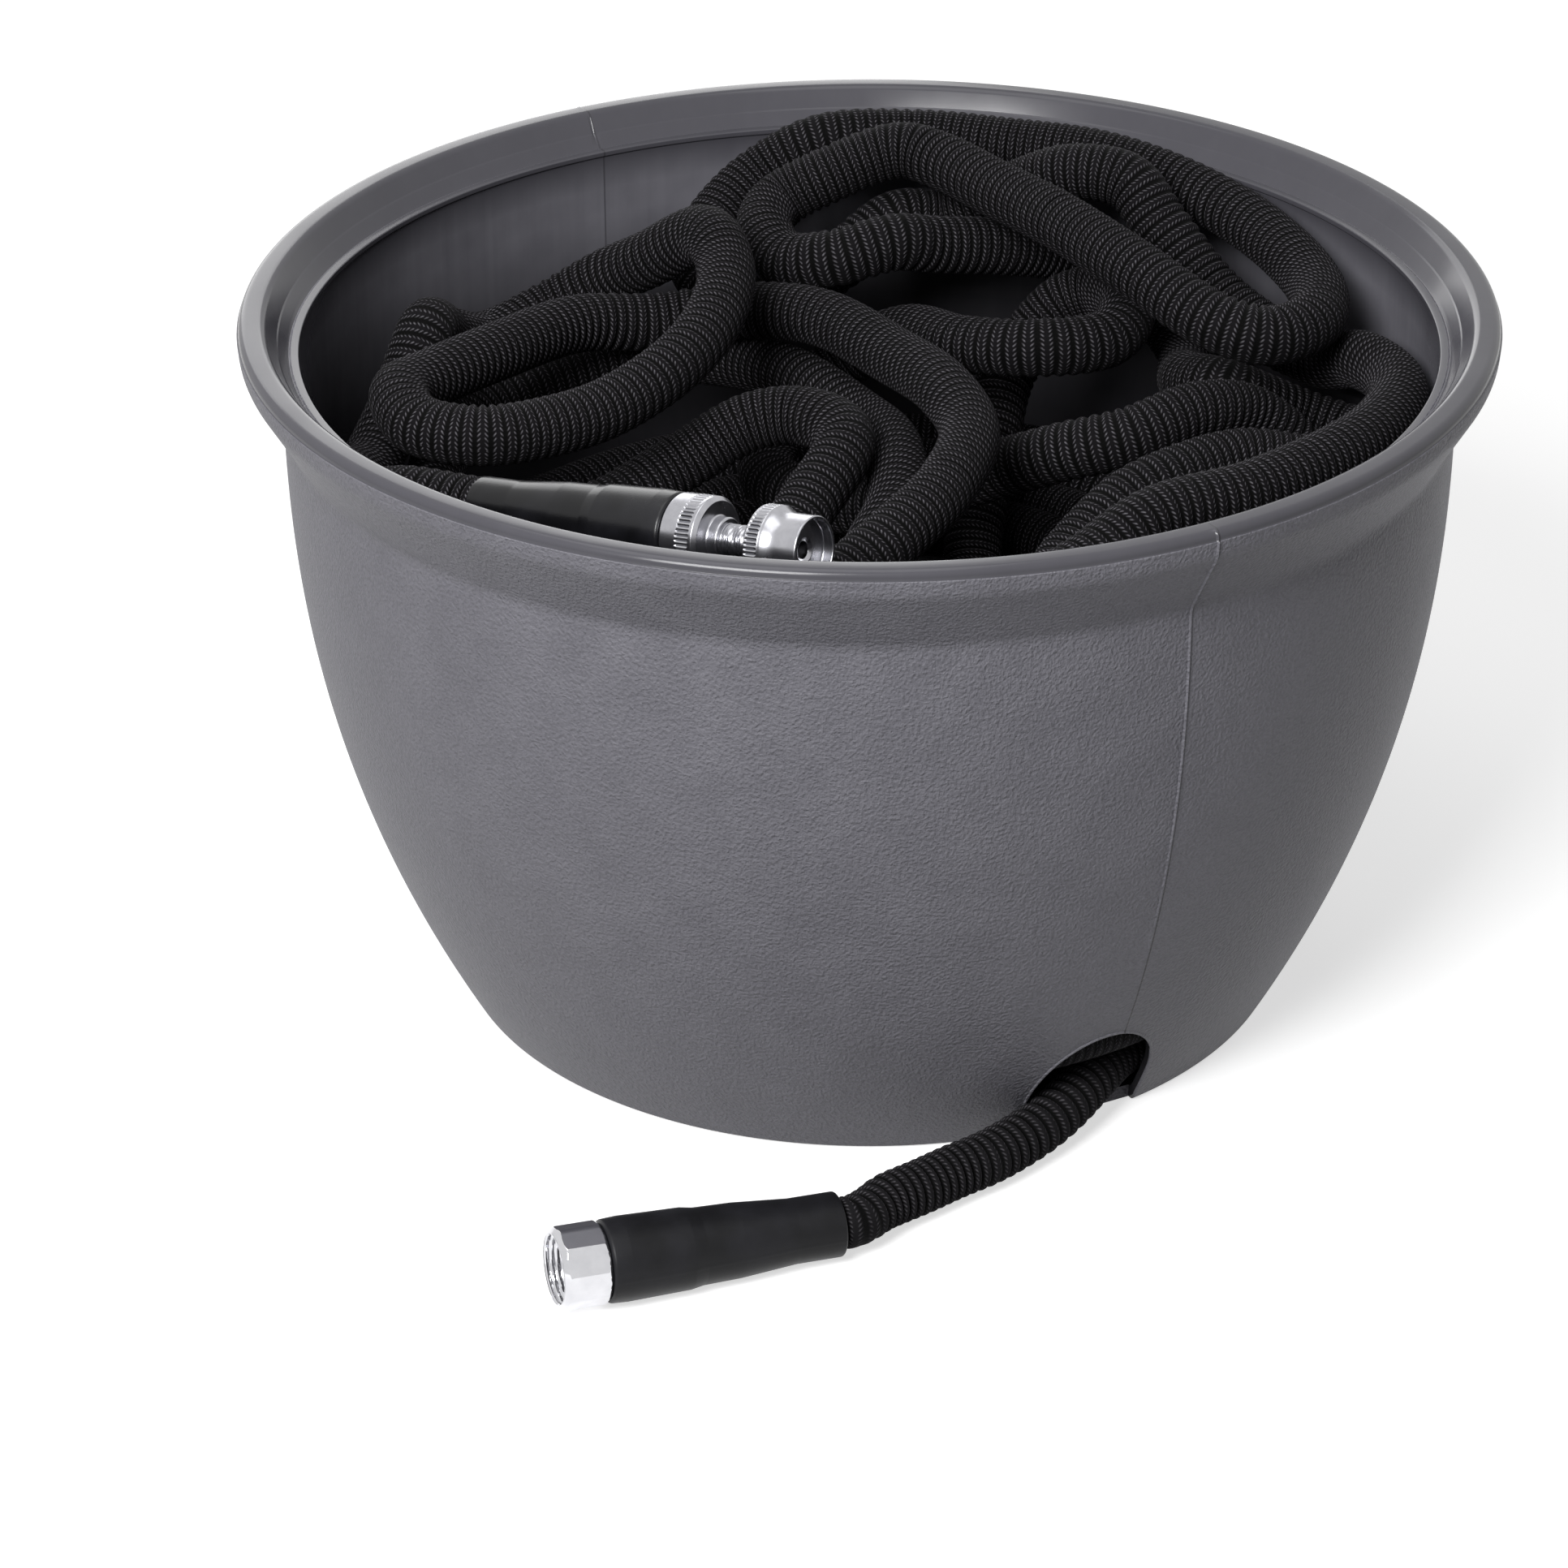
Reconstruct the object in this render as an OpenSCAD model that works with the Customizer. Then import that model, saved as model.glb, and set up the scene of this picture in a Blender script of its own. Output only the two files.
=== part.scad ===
// Garden hose pot: a round moulded pot with a rolled lip and a hose outlet low in its
// wall. A fabric hose winds in the bottom and lies loose on top. Its ribbed tail runs out
// of the outlet to a swivel coupling, and its other end in the pot carries a twist nozzle.
// Origin: centre of the base, on the ground. +Z is up and the coupling lies towards -X -Y.

/* [Pot] */
// Outside diameter of the foot
foot_d = 345; // [335:1:355]
// Outside diameter of the neck, under the lip
neck_d = 474; // [470:1:480]
// Bow of the side wall: 1 is a straight cone
wall_bow = 2.2; // [2.1:0.05:2.4]
// Wall thickness, measured level
wall_t = 4.6; // [3.5:0.1:5]
// Thickness of the floor
floor_t = 3.5; // [3:0.1:4]
// Height of the recess under the floor
recess_h = 2; // [1.5:0.1:2.4]
// Width of the foot ring
foot_ring_w = 12; // [8:1:18]
// Radius of the edge under the foot
foot_edge_r = 3; // [2:0.5:4]
// Diameter of a drain hole
drain_d = 10; // [6:1:14]
// Diameter of the circle that the drain holes lie on
drain_circle_d = 220; // [160:5:260]
// Number of drain holes
drain_count = 4; // [3:1:8]

/* [Lip] */
// Overall height of the pot
pot_h = 293.6; // [291:0.2:297]
// Outside diameter of the lip
lip_d = 508; // [505:1:512]
// Height of the flared lip
lip_h = 38.6; // [37:0.2:40]
// Height of the lip's upright brow, down from the crest
brow_h = 11; // [10:0.5:13]
// Width of the crest, from the brow to its inner edge
crest_w = 10.5; // [10:0.5:12]
// Radius of the crest's outer edge
crest_r = 6; // [4:0.5:6.5]
// Radius of the hollow where the lip leaves the wall
neck_fillet_r = 12; // [8:1:16]
// Depth of the bead inside the lip, down from the crest
bead_depth = 12.4; // [11:0.2:14]
// Diameter of the throat under the bead
throat_d = 461; // [458:1:463]
// Height of the mould's parting line over the wall
seam_h = 0.4; // [0.2:0.1:0.8]
// Width of the mould's parting line
seam_w = 1.4; // [0.8:0.2:2.4]
// Heading of the parting line, from the front towards the right
seam_az = 30.4; // [26:0.2:36]

/* [Outlet] */
// Width of the hose outlet
outlet_w = 57; // [55:1:60]
// Height of the outlet's crown above the ground
outlet_top = 53; // [51:1:56]
// Height of the rounded crown over the outlet's upright sides
crown_h = 33; // [30:1:36]
// Heading of the outlet, from the front towards the right
outlet_az = 28.6; // [28.4:0.1:29]

/* [Hose] */
// Outside diameter of the fabric hose in the pot
hose_d = 25; // [23.5:0.1:25.2]
// Outside diameter of the ribbed tail, over its ribs
tail_d = 22; // [21:0.2:22.4]
// Depth of a rib
rib_depth = 1; // [0.5:0.1:1.4]
// Length of a rib, along the tail
rib_pitch = 5; // [4:0.2:6]
// Bore of the hose
hose_bore = 13; // [12.4:0.2:14]
// Gap between turns of the coil
turn_gap = 0.8; // [0.6:0.1:1.4]
// Clearance between the coil and the pot
hose_clear = 0.5; // [0.4:0.1:0.9]

/* [Coil] */
// Turns stacked against the wall
wall_turns = 5; // [3:1:5]
// Turns of the flat layer on top of them
top_turns = 4; // [3:1:4]

/* [Cuff] */
// Length of a cuff
cuff_len = 95; // [88:1:100]
// Diameter of a cuff at its fitting
cuff_d = 33; // [31:0.5:33]
// Diameter of a cuff at its hose end
cuff_tail_d = 25.5; // [24.6:0.1:27]
// Thickness of a cuff's front wall
cuff_face_t = 2.7; // [2:0.1:3.4]
// Length of a ferrule
ferrule_len = 26; // [22:1:32]
// Wall of a ferrule
ferrule_t = 1.6; // [1.2:0.1:2]
// Thickness of a ferrule's inward flange
ferrule_flange_t = 1.8; // [1.4:0.1:2.4]

/* [Coupling] */
// Length of the swivel nut
nut_len = 19; // [18:0.5:22]
// Width of the nut across its flats
nut_flats_w = 31.5; // [31:0.5:33]
// Number of flats on the nut
nut_flats = 10; // [8:1:12]
// Bore of the female thread in the nut and in the nozzle
thread_bore = 26.6; // [26:0.1:27]
// Thickness of the nut's inward flange
nut_flange_t = 2; // [1.6:0.1:2.6]
// Diameter of a hose end's neck
stem_d = 17.8; // [16:0.2:18.4]
// Bore through a hose end
stem_bore = 9; // [7:0.5:9.5]
// Thickness of a hose end's flange or collar
collar_t = 2.4; // [1.8:0.1:3]
// Thickness of a washer
washer_t = 3; // [2:0.1:3.4]
// Bore of a washer
washer_bore = 14; // [12:0.5:16]

/* [Nozzle] */
// Diameter of the base ring
ring_d = 32.5; // [31.5:0.1:33]
// Length of the base ring
ring_len = 17; // [16:0.5:19]
// Width of the base ring's knurled band
ring_knurl_w = 6; // [4:0.5:7]
// Number of grooves round a knurled band
knurl_count = 36; // [24:2:44]
// Depth of a knurl groove
knurl_depth = 0.7; // [0.4:0.1:0.9]
// Length of the male thread
male_len = 10; // [8:0.5:10.5]
// Diameter of the shoulder behind the neck
shoulder_d = 17.6; // [16:0.2:19]
// Length of the shoulder
shoulder_len = 5; // [4:0.5:6]
// Diameter of the neck
neck_rod_d = 13; // [12:0.2:13.4]
// Bare neck between the shoulder and the barrel
neck_gap = 16; // [12:0.5:18]
// Length of the barrel
barrel_len = 23; // [22:0.5:26]
// Diameter of the barrel's knurled collar
collar_d = 31.6; // [30:0.2:33]
// Width of the barrel's knurled collar
collar_w = 8; // [7:0.5:9]
// Outside diameter of the barrel's mouth
mouth_d = 27; // [26.4:0.2:28]
// Bore of the barrel's mouth
mouth_bore = 24.4; // [23:0.2:25]
// Depth of the barrel's mouth
mouth_depth = 4.6; // [4:0.2:5.4]
// Diameter of the hole in the barrel's disc
orifice_d = 6.8; // [6.6:0.2:8]
// Radial running clearance round the neck
neck_clear = 0.1; // [0.05:0.05:0.15]

/* [Hidden] */
$fn = 72;

slate = [0.42, 0.42, 0.44];
fabric_black = [0.1, 0.1, 0.11];
rubber_black = [0.16, 0.16, 0.17];
washer_black = [0.2, 0.2, 0.2];
chrome_tint = [0.8, 0.8, 0.82];
alloy_tint = [0.7, 0.7, 0.71];

hose_r = hose_d / 2;
tail_r = tail_d / 2;
throat_r = throat_d / 2;
lip_r = lip_d / 2;
neck_z = pot_h - lip_h;
floor_z = recess_h + floor_t;
// Clearance between pieces that are fitted together, and between a piece and its seat
fit = 0.15;
seat_gap = 0.3;

// ---- Places ----

// Centre of the coupling's front face, with its heading and its rise
coupling_face = [-119.5, -289, 17.7];
coupling_yaw = 200;
coupling_rise = 2.2;
// Centre of the nozzle ring's rear face, with its heading and its rise
ring_rear = [-71, -163, 266];
nozzle_yaw = -33;
nozzle_rise = 8;

function heading(yaw, rise) = [cos(rise) * cos(yaw), cos(rise) * sin(yaw), sin(rise)];
coupling_dir = heading(coupling_yaw, coupling_rise);
nozzle_dir = heading(nozzle_yaw, nozzle_rise);
// Front face of each cuff, from which the hose end is measured backwards
tail_cuff_face = coupling_face - (nut_len + seat_gap) * coupling_dir;
nozzle_cuff_face = ring_rear - seat_gap * nozzle_dir;

// Turns +Z onto a heading and moves the origin to a place
module along(place, yaw, rise) {
    translate(place) rotate([0, 90 - rise, yaw]) children();
}

// ---- Outlines ----

function unit(v) = v / norm(v);
// Points of the arc of radius r that rounds the corner b between a and c
function arc_at(a, b, c, r) =
    let (u = unit([a.x - b.x, a.y - b.y]), v = unit([c.x - b.x, c.y - b.y]),
         half = acos(u * v) / 2,
         centre = [b.x, b.y] + unit(u + v) * r / sin(half),
         p = [b.x, b.y] + u * r / tan(half) - centre,
         q = [b.x, b.y] + v * r / tan(half) - centre,
         turn = atan2(p.x * q.y - p.y * q.x, p * q))
    [for (k = [0 : 4]) centre + r * [cos(atan2(p.y, p.x) + turn * k / 4),
                                     sin(atan2(p.y, p.x) + turn * k / 4)]];
// Outline through corners [x, y, radius], where radius 0 leaves a corner sharp
function outline(c) =
    let (n = len(c))
    [for (i = [0 : n - 1])
        each c[i].z > 0 ? arc_at(c[(i + n - 1) % n], c[i], c[(i + 1) % n], c[i].z)
                        : [[c[i].x, c[i].y]]];

// Outer radius of the pot's wall at a height
function wall_r(z) =
    neck_d / 2 - (neck_d - foot_d) / 2 * pow(max(0, 1 - z / neck_z), wall_bow);
function wall_lean(z) = atan(wall_r(z + 0.5) - wall_r(z - 0.5));
// Radius at which a hose's centre lies against the inside of the wall
chord_slack = 0.6;
function lie_r(z) =
    wall_r(z) - wall_t - chord_slack - (hose_r + hose_clear) / cos(wall_lean(z));

wall_bands = 20;
function band_z(i) = neck_z * i / wall_bands;

// ---- Pot ----

brow_lean = 0.6;
skirt_r = lip_r - brow_lean;
// The bend between the skirt and the brow takes this length of each
brow_blend = 3;
skirt_turn = atan2(brow_h, brow_lean)
             - atan2(pot_h - brow_h - neck_z, skirt_r - neck_d / 2);
brow_bend_r = brow_blend / tan(skirt_turn / 2);
crest_inner_r = 4;
// Bead inside the lip: a ledge and a step at its top, a slope, then a crease at its foot
bead_z = pot_h - bead_depth;
ledge_in = 7.8;
ledge_z = pot_h - 8.2;
ledge_step = 0.6;
slope_in = 4.5;
crease_in = 3.2;
crease_drop = 1.8;
crease_lip = 0.6;
// Narrow band under the bead, proud of the throat
throat_lip = 0.8;
throat_lip_top = bead_z - 1.6;
throat_lip_foot = bead_z - 3.6;
floor_corner_r = 3;

pot_outline = concat(
    [[0, recess_h, 0],
     [foot_d / 2 - foot_ring_w, recess_h, 0],
     [foot_d / 2 - foot_ring_w, 0, 0],
     [wall_r(0), 0, foot_edge_r]],
    [for (i = [1 : wall_bands - 1]) [wall_r(band_z(i)), band_z(i), 0]],
    [[wall_r(neck_z), neck_z, neck_fillet_r],
     [skirt_r, pot_h - brow_h, brow_bend_r],
     [lip_r, pot_h, crest_r],
     [lip_r - crest_w, pot_h, crest_inner_r],
     [throat_r + ledge_in, ledge_z, 0],
     [throat_r + ledge_in - ledge_step, ledge_z - ledge_step, 0],
     [throat_r + slope_in, bead_z, 0],
     [throat_r + crease_in, bead_z - crease_drop, 0],
     [throat_r + crease_in - throat_lip, bead_z - crease_drop + crease_lip, 0],
     [throat_r - throat_lip, throat_lip_top, 0],
     [throat_r - throat_lip, throat_lip_foot, 0],
     [throat_r, throat_lip_foot - throat_lip, 0]],
    [for (i = [wall_bands - 2 : -1 : 1])
        [min(wall_r(band_z(i)) - wall_t, throat_r), band_z(i), 0]],
    [[wall_r(floor_z) - wall_t, floor_z, floor_corner_r], [0, floor_z, 0]]);

// Arched opening with an elliptical crown, that breaks out through the foot's edge
module outlet_cut() {
    inner_r = wall_r(0) - wall_t - 1;
    reach = 40;
    arc_steps = 24;
    crown = [for (k = [0 : arc_steps]) let (a = 180 * k / arc_steps)
        [outlet_w / 2 * cos(a), outlet_top - crown_h + crown_h * sin(a)]];
    rotate(outlet_az - 90)
        translate([inner_r, 0, 0])
            rotate([90, 0, 90])
                linear_extrude(height = reach)
                    polygon(concat(crown, [[-outlet_w / 2, -1], [outlet_w / 2, -1]]));
}

// Thin ridges where the two halves of the mould met, front right and back left
module parting_line() {
    root = 1;
    half_turn = asin(seam_w / neck_d);
    ridge_top = pot_h - crest_r;
    function wall_line(i, out) = [wall_r(band_z(i)) + out, max(band_z(i), foot_edge_r), 0];
    ridge = concat(
        [for (i = [0 : wall_bands - 1]) wall_line(i, seam_h)],
        [[wall_r(neck_z) + seam_h, neck_z, neck_fillet_r],
         [skirt_r + seam_h, pot_h - brow_h, brow_bend_r],
         [lip_r + seam_h, ridge_top, 0],
         [lip_r - root, ridge_top, 0],
         [skirt_r - root, pot_h - brow_h, brow_bend_r],
         [wall_r(neck_z) - root, neck_z, neck_fillet_r]],
        [for (i = [wall_bands - 1 : -1 : 0]) wall_line(i, -root)]);
    for (side = [0, 180])
        rotate(seam_az - 90 + side - half_turn)
            rotate_extrude(angle = 2 * half_turn) polygon(outline(ridge));
}

module pot() {
    color(slate)
        difference() {
            union() {
                rotate_extrude() polygon(outline(pot_outline));
                parting_line();
            }
            outlet_cut();
            for (k = [0 : drain_count - 1])
                rotate(360 * (k + 0.5) / drain_count)
                    translate([drain_circle_d / 2, 0, 0])
                        cylinder(d = drain_d, h = floor_z + 1);
        }
}

// ---- Swept tubes ----

// Smooth curve through points p that leaves along dir_a and arrives along dir_b
function blend(a, b, c, d, t) =
    0.5 * (2 * b + (c - a) * t + (2 * a - 5 * b + 4 * c - d) * t * t
           + (3 * b - a - 3 * c + d) * t * t * t);
function spline(p, dir_a, dir_b, steps) =
    let (n = len(p),
         before = p[1] - 2 * norm(p[1] - p[0]) * dir_a,
         after = p[n - 2] + 2 * norm(p[n - 1] - p[n - 2]) * dir_b,
         q = concat([before], p, [after]))
    concat([for (i = [0 : n - 2], k = [0 : steps - 1])
                blend(q[i], q[i + 1], q[i + 2], q[i + 3], k / steps)],
           [p[n - 1]]);

// Length of a path up to each of its points
function lengths(p, i = 0, done = 0) =
    i == len(p) - 1 ? [done]
    : concat([done], lengths(p, i + 1, done + norm(p[i + 1] - p[i])));
// Points along a path at the given distances from its start
function points_at(p, marks) =
    let (s = lengths(p),
         tx = [for (i = [0 : len(p) - 1]) [s[i], p[i].x]],
         ty = [for (i = [0 : len(p) - 1]) [s[i], p[i].y]],
         tz = [for (i = [0 : len(p) - 1]) [s[i], p[i].z]])
    [for (m = marks) [lookup(m, tx), lookup(m, ty), lookup(m, tz)]];

function dir_at(p, i) =
    i == 0 ? unit(p[1] - p[0])
    : i == len(p) - 1 ? unit(p[i] - p[i - 1])
    : unit(unit(p[i + 1] - p[i]) + unit(p[i] - p[i - 1]));
// Sideways direction at each point, carried along the path without a twist
function carried(p, i, side) =
    let (d = dir_at(p, i), s = unit(side - (side * d) * d))
    i == len(p) - 1 ? [s] : concat([s], carried(p, i + 1, s));
function rings(p, radii, sides) =
    let (side = carried(p, 0, cross(dir_at(p, 0), [0, 0, 1])))
    [for (i = [0 : len(p) - 1])
        let (up = cross(dir_at(p, i), side[i]))
        [for (k = [0 : sides - 1]) let (a = 360 * (k + 0.5) / sides)
            p[i] + radii[i] * (cos(a) * side[i] + sin(a) * up)]];
function flat(lists) = [for (l = lists) each l];

// Triangles between two rings of points that start at a and at b
function band(a, b, sides) =
    [for (k = [0 : sides - 1]) let (m = (k + 1) % sides)
        each [[a + k, b + m, a + m], [a + k, b + k, b + m]]];
function fan(a, sides) = [for (k = [1 : sides - 2]) [a, a + k, a + k + 1]];
function reversed(faces) = [for (f = faces) [f[2], f[1], f[0]]];

module tube(ring_list) {
    sides = len(ring_list[0]);
    last = (len(ring_list) - 1) * sides;
    polyhedron(points = flat(ring_list),
               faces = concat(flat([for (i = [0 : len(ring_list) - 2])
                                        band(i * sides, (i + 1) * sides, sides)]),
                              fan(0, sides), reversed(fan(last, sides))));
}

// Tube with its own rings inside: the last outer and inner rings close its ends
module bored_tube(outer, inner) {
    sides = len(outer[0]);
    n = len(outer);
    m = len(inner);
    first_in = n * sides;
    polyhedron(points = concat(flat(outer), flat(inner)),
               faces = concat(flat([for (i = [0 : n - 2])
                                        band(i * sides, (i + 1) * sides, sides)]),
                              reversed(flat([for (i = [0 : m - 2])
                                  band(first_in + i * sides, first_in + (i + 1) * sides, sides)])),
                              reversed(band(0, first_in, sides)),
                              band((n - 1) * sides, first_in + (m - 1) * sides, sides)));
}

// Least distance between points of a path that lie at least `apart` along it
function least_apart(p, apart) =
    let (s = lengths(p))
    min([for (i = [0 : len(p) - 1], j = [i + 1 : 1 : len(p) - 1])
        if (s[j] - s[i] > apart) norm(p[i] - p[j])]);
function least_between(p, q) = min([for (a = p, b = q) norm(a - b)]);

// ---- Coil in the bottom of the pot ----

loop_rings = 24;
coil_sides = 6;
row_z = floor_z + hose_r + hose_clear;
row_pitch = hose_d + turn_gap;
top_z = row_z + row_pitch * wall_turns;
// The tail arrives here, heading along the wall
coil_start = [111, -114, row_z];
coil_lead = unit([0.6, 0.8, 0]);
// The coil ends near the pot's axis, heading along +Y
coil_end_r = 41;
start_angle = atan2(coil_start.y, coil_start.x);
lead_angle = 24;
wall_angle = 360 * wall_turns;
end_angle = 360 * (wall_turns + top_turns) - start_angle;
// The last part of the spiral draws in towards the pot's axis
draw_in_angle = 150;

function ease(t) = t <= 0 ? 0 : t >= 1 ? 1 : t * t * (3 - 2 * t);
function coil_z(a) = row_z + row_pitch * min(a, wall_angle) / 360;
// Up the wall, then inwards beside the wall's last turn, then a pitch inside each turn
function turn_r(a) =
    let (t = (a - wall_angle) / 360)
    t < 0 ? lie_r(coil_z(a))
    : t < 1 ? lie_r(coil_z(a - 360)) - row_pitch * sqrt(t * (2 - t))
    : turn_r(a - 360) - row_pitch;
function coil_r(a) =
    turn_r(a) - (turn_r(end_angle) - coil_end_r)
                * ease((a - end_angle + draw_in_angle) / draw_in_angle);
function coil_at(a) =
    [coil_r(a) * cos(start_angle + a), coil_r(a) * sin(start_angle + a), coil_z(a)];

coil_stop = [coil_end_r, 0, top_z];
coil_path = concat(
    [coil_start, coil_start + tail_d * coil_lead],
    [for (a = [lead_angle : 360 / loop_rings : end_angle - 5]) coil_at(a)],
    [coil_stop, coil_stop + [0, hose_d, 0]]);
coil_radii = [for (i = [0 : len(coil_path) - 1]) i == 0 ? tail_r : hose_r];

module hose_coil() {
    color(fabric_black) tube(rings(coil_path, coil_radii, coil_sides));
    echo(coil_gap_mm = least_apart(coil_path, 4 * hose_d) - hose_d);
}

// Plain heart of the coil, in the place of the turns inside the outer ones
module coil_core() {
    inset = hose_r + 14;
    foot_inset = 5;
    bands = 4;
    low = floor_z + seat_gap;
    high = top_z - hose_r - seat_gap;
    side = [for (i = [0 : bands])
        let (z = row_z + (high - row_z) * i / bands) [lie_r(z) - inset, z]];
    color(fabric_black)
        rotate_extrude()
            polygon(concat([[0, low], [side[0].x - foot_inset, low]], side, [[0, high]]));
}

// ---- Hose lying loose on the coil ----

// Hand-laid routes, each on from the end of the one before
lower_route = [[41, 25, top_z], [43, 42, 150], [44, 58, 162], [48, 75, 175], [52, 100, 185],
    [60, 130, 205], [80, 140, 230], [100, 135, 240], [110, 110, 245], [100, 85, 240],
    [70, 75, 240], [40, 90, 235], [15, 125, 225], [-15, 135, 205], [-40, 110, 185],
    [-40, 70, 180], [0, 35, 185], [40, 20, 205], [75, 0, 225], [105, -5, 235],
    [135, 10, 240], [160, 25, 230], [185, 25, 205], [200, 0, 185], [205, -45, 180],
    [190, -95, 180], [140, -150, 180], [75, -190, 185], [10, -200, 190], [-40, -180, 190],
    [-55, -135, 200], [-45, -90, 210], [-25, -50, 225], [-10, -10, 235], [-25, 15, 235],
    [-50, 20, 230], [-80, 10, 215], [-110, -10, 205], [-145, -20, 200], [-175, 0, 195],
    [-180, 45, 200]];
middle_route = [[-170, 90, 200], [-140, 115, 205], [-105, 130, 210], [-70, 135, 210],
    [-35, 105, 215], [-5, 60, 215], [10, 15, 220], [10, -30, 215], [0, -70, 210],
    [5, -105, 205], [30, -120, 200], [60, -110, 205], [80, -75, 215], [100, -50, 225],
    [120, -35, 230], [150, -15, 230], [180, -10, 225], [205, 0, 220], [212, 25, 215],
    [205, 50, 210], [180, 60, 215], [150, 55, 230], [135, 75, 225], [135, 105, 215],
    [135, 135, 215], [115, 165, 230], [85, 165, 245], [55, 150, 255], [30, 140, 260],
    [10, 130, 265], [-15, 125, 260], [-35, 135, 255], [-45, 155, 260], [-40, 175, 265],
    [-20, 180, 275], [10, 185, 285], [30, 175, 285], [55, 140, 285], [80, 105, 285]];
upper_route = [[110, 65, 280], [140, 35, 270], [165, 30, 265], [185, 50, 265],
    [185, 90, 265], [165, 135, 270], [135, 170, 275], [100, 190, 280], [60, 205, 280],
    [20, 215, 280], [-20, 210, 280], [-50, 205, 265], [-70, 185, 250], [-75, 165, 240],
    [-60, 150, 230], [-40, 150, 230], [-15, 165, 240], [10, 180, 255], [35, 185, 255],
    [60, 175, 270], [85, 160, 285], [110, 150, 285], [125, 135, 270], [145, 115, 250],
    [165, 95, 240], [190, 75, 235], [205, 50, 245], [215, 15, 250], [210, -25, 255],
    [190, -70, 260], [150, -110, 260], [110, -135, 260], [80, -160, 250], [45, -185, 240],
    [10, -200, 230], [-20, -180, 230], [-15, -150, 235], [10, -120, 245], [30, -85, 250]];
left_route = [[40, -35, 250], [30, 10, 250], [10, 55, 245], [-20, 95, 245], [-55, 115, 240],
    [-90, 115, 235], [-125, 100, 240], [-155, 60, 245], [-180, 20, 250], [-190, -10, 256],
    [-180, -40, 256], [-155, -50, 256], [-130, -40, 255], [-105, -20, 255], [-80, 10, 260],
    [-65, 45, 265], [-60, 85, 270], [-70, 115, 275], [-95, 135, 255], [-115, 150, 240],
    [-140, 150, 225], [-165, 130, 220], [-180, 100, 235], [-185, 70, 250], [-195, 40, 230],
    [-205, 0, 220], [-210, -35, 230], [-200, -75, 240], [-180, -95, 250]];

// The hose goes straight into its cuff from a little behind it
mouth_back = cuff_len + 3;
cuff_entry = nozzle_cuff_face - mouth_back * nozzle_dir;
loose_ring_step = 20;
spline_steps = 6;
loose_curve = spline(concat(lower_route, middle_route, upper_route, left_route,
                            [cuff_entry]), [0, 1, 0], nozzle_dir, spline_steps);
loose_run = lengths(loose_curve);
// Where each stretch ends, as a count of route points
stretch_ends = [0, len(lower_route) - 1, len(lower_route) + len(middle_route) - 1,
                len(lower_route) + len(middle_route) + len(upper_route) - 1,
                len(lower_route) + len(middle_route) + len(upper_route) + len(left_route)];
stretch_from = [for (e = stretch_ends) loose_run[e * spline_steps]];
stretch_rings = [for (k = [0 : 3])
    round((stretch_from[k + 1] - stretch_from[k]) / loose_ring_step)];
// The first stretch has one ring more, for the straight piece that meets the coil squarely
loose_lead = 8;
first_ring = [0, stretch_rings[0] + 1, stretch_rings[0] + stretch_rings[1] + 1,
              stretch_rings[0] + stretch_rings[1] + stretch_rings[2] + 1];
loose_marks = concat(
    [for (k = [0 : 3], i = [k == 0 ? 1 : 0 : stretch_rings[k] - 1])
        stretch_from[k] + (stretch_from[k + 1] - stretch_from[k]) * i / stretch_rings[k]],
    [stretch_from[4]]);
// Rings of the whole loose hose, with one last ring at its seat inside the cuff
hose_seat = cuff_face_t + seat_gap + ferrule_flange_t + collar_t + 2 * fit;
loose_path = concat([loose_curve[0], loose_curve[0] + [0, loose_lead, 0]],
                    points_at(loose_curve, loose_marks),
                    [nozzle_cuff_face - hose_seat * nozzle_dir]);
loose_count = len(loose_path);
loose_radii = [for (i = [0 : loose_count - 1]) i < loose_count - 2 ? hose_r : tail_r];
loose_sides = 8;
loose_ring_list = rings(loose_path, loose_radii, loose_sides);

module loose_stretch(k) {
    last = k == 3 ? loose_count - 1 : first_ring[k + 1];
    color(fabric_black) tube([for (i = [first_ring[k] : last]) loose_ring_list[i]]);
}

module hose_lower() {
    loose_stretch(0);
    echo(loose_gap_mm = least_apart(loose_path, 2.6 * hose_d) - hose_d);
    echo(loose_to_coil_gap_mm = least_between(
        [for (i = [3 : loose_count - 1]) loose_path[i]],
        [for (i = [0 : len(coil_path) - 3]) coil_path[i]]) - hose_d);
    echo(hose_length_mm = loose_run[len(loose_run) - 1] + max(lengths(coil_path)));
}

module hose_middle() {
    loose_stretch(1);
}

module hose_upper() {
    loose_stretch(2);
}

// The last stretch has the bore that the nozzle's hose end is pushed into
module hose_left() {
    color(fabric_black)
        difference() {
            loose_stretch(3);
            along(nozzle_cuff_face, nozzle_yaw, nozzle_rise)
                translate([0, 0, -hose_seat - ferrule_len - 1])
                    cylinder(d = hose_bore, h = ferrule_len + 3);
        }
}

// ---- Ribbed tail ----

tail_route = [[7, -232, 12.5], [20, -221, 12], [33, -210, 12], [46, -200, 12],
              [58, -188, 12], [69, -176, 13], [79, -163, 15], [89, -147, 17.5]];
tail_sides = 8;
tail_entry = tail_cuff_face - mouth_back * coupling_dir;
tail_curve = spline(concat([tail_entry], tail_route,
                           [coil_start - tail_d * coil_lead, coil_start]),
                    -coupling_dir, coil_lead, spline_steps);
tail_run = max(lengths(tail_curve));
rib_count = floor(tail_run / rib_pitch);
rib_step = tail_run / rib_count;
tail_seat = tail_cuff_face - hose_seat * coupling_dir;
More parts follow.
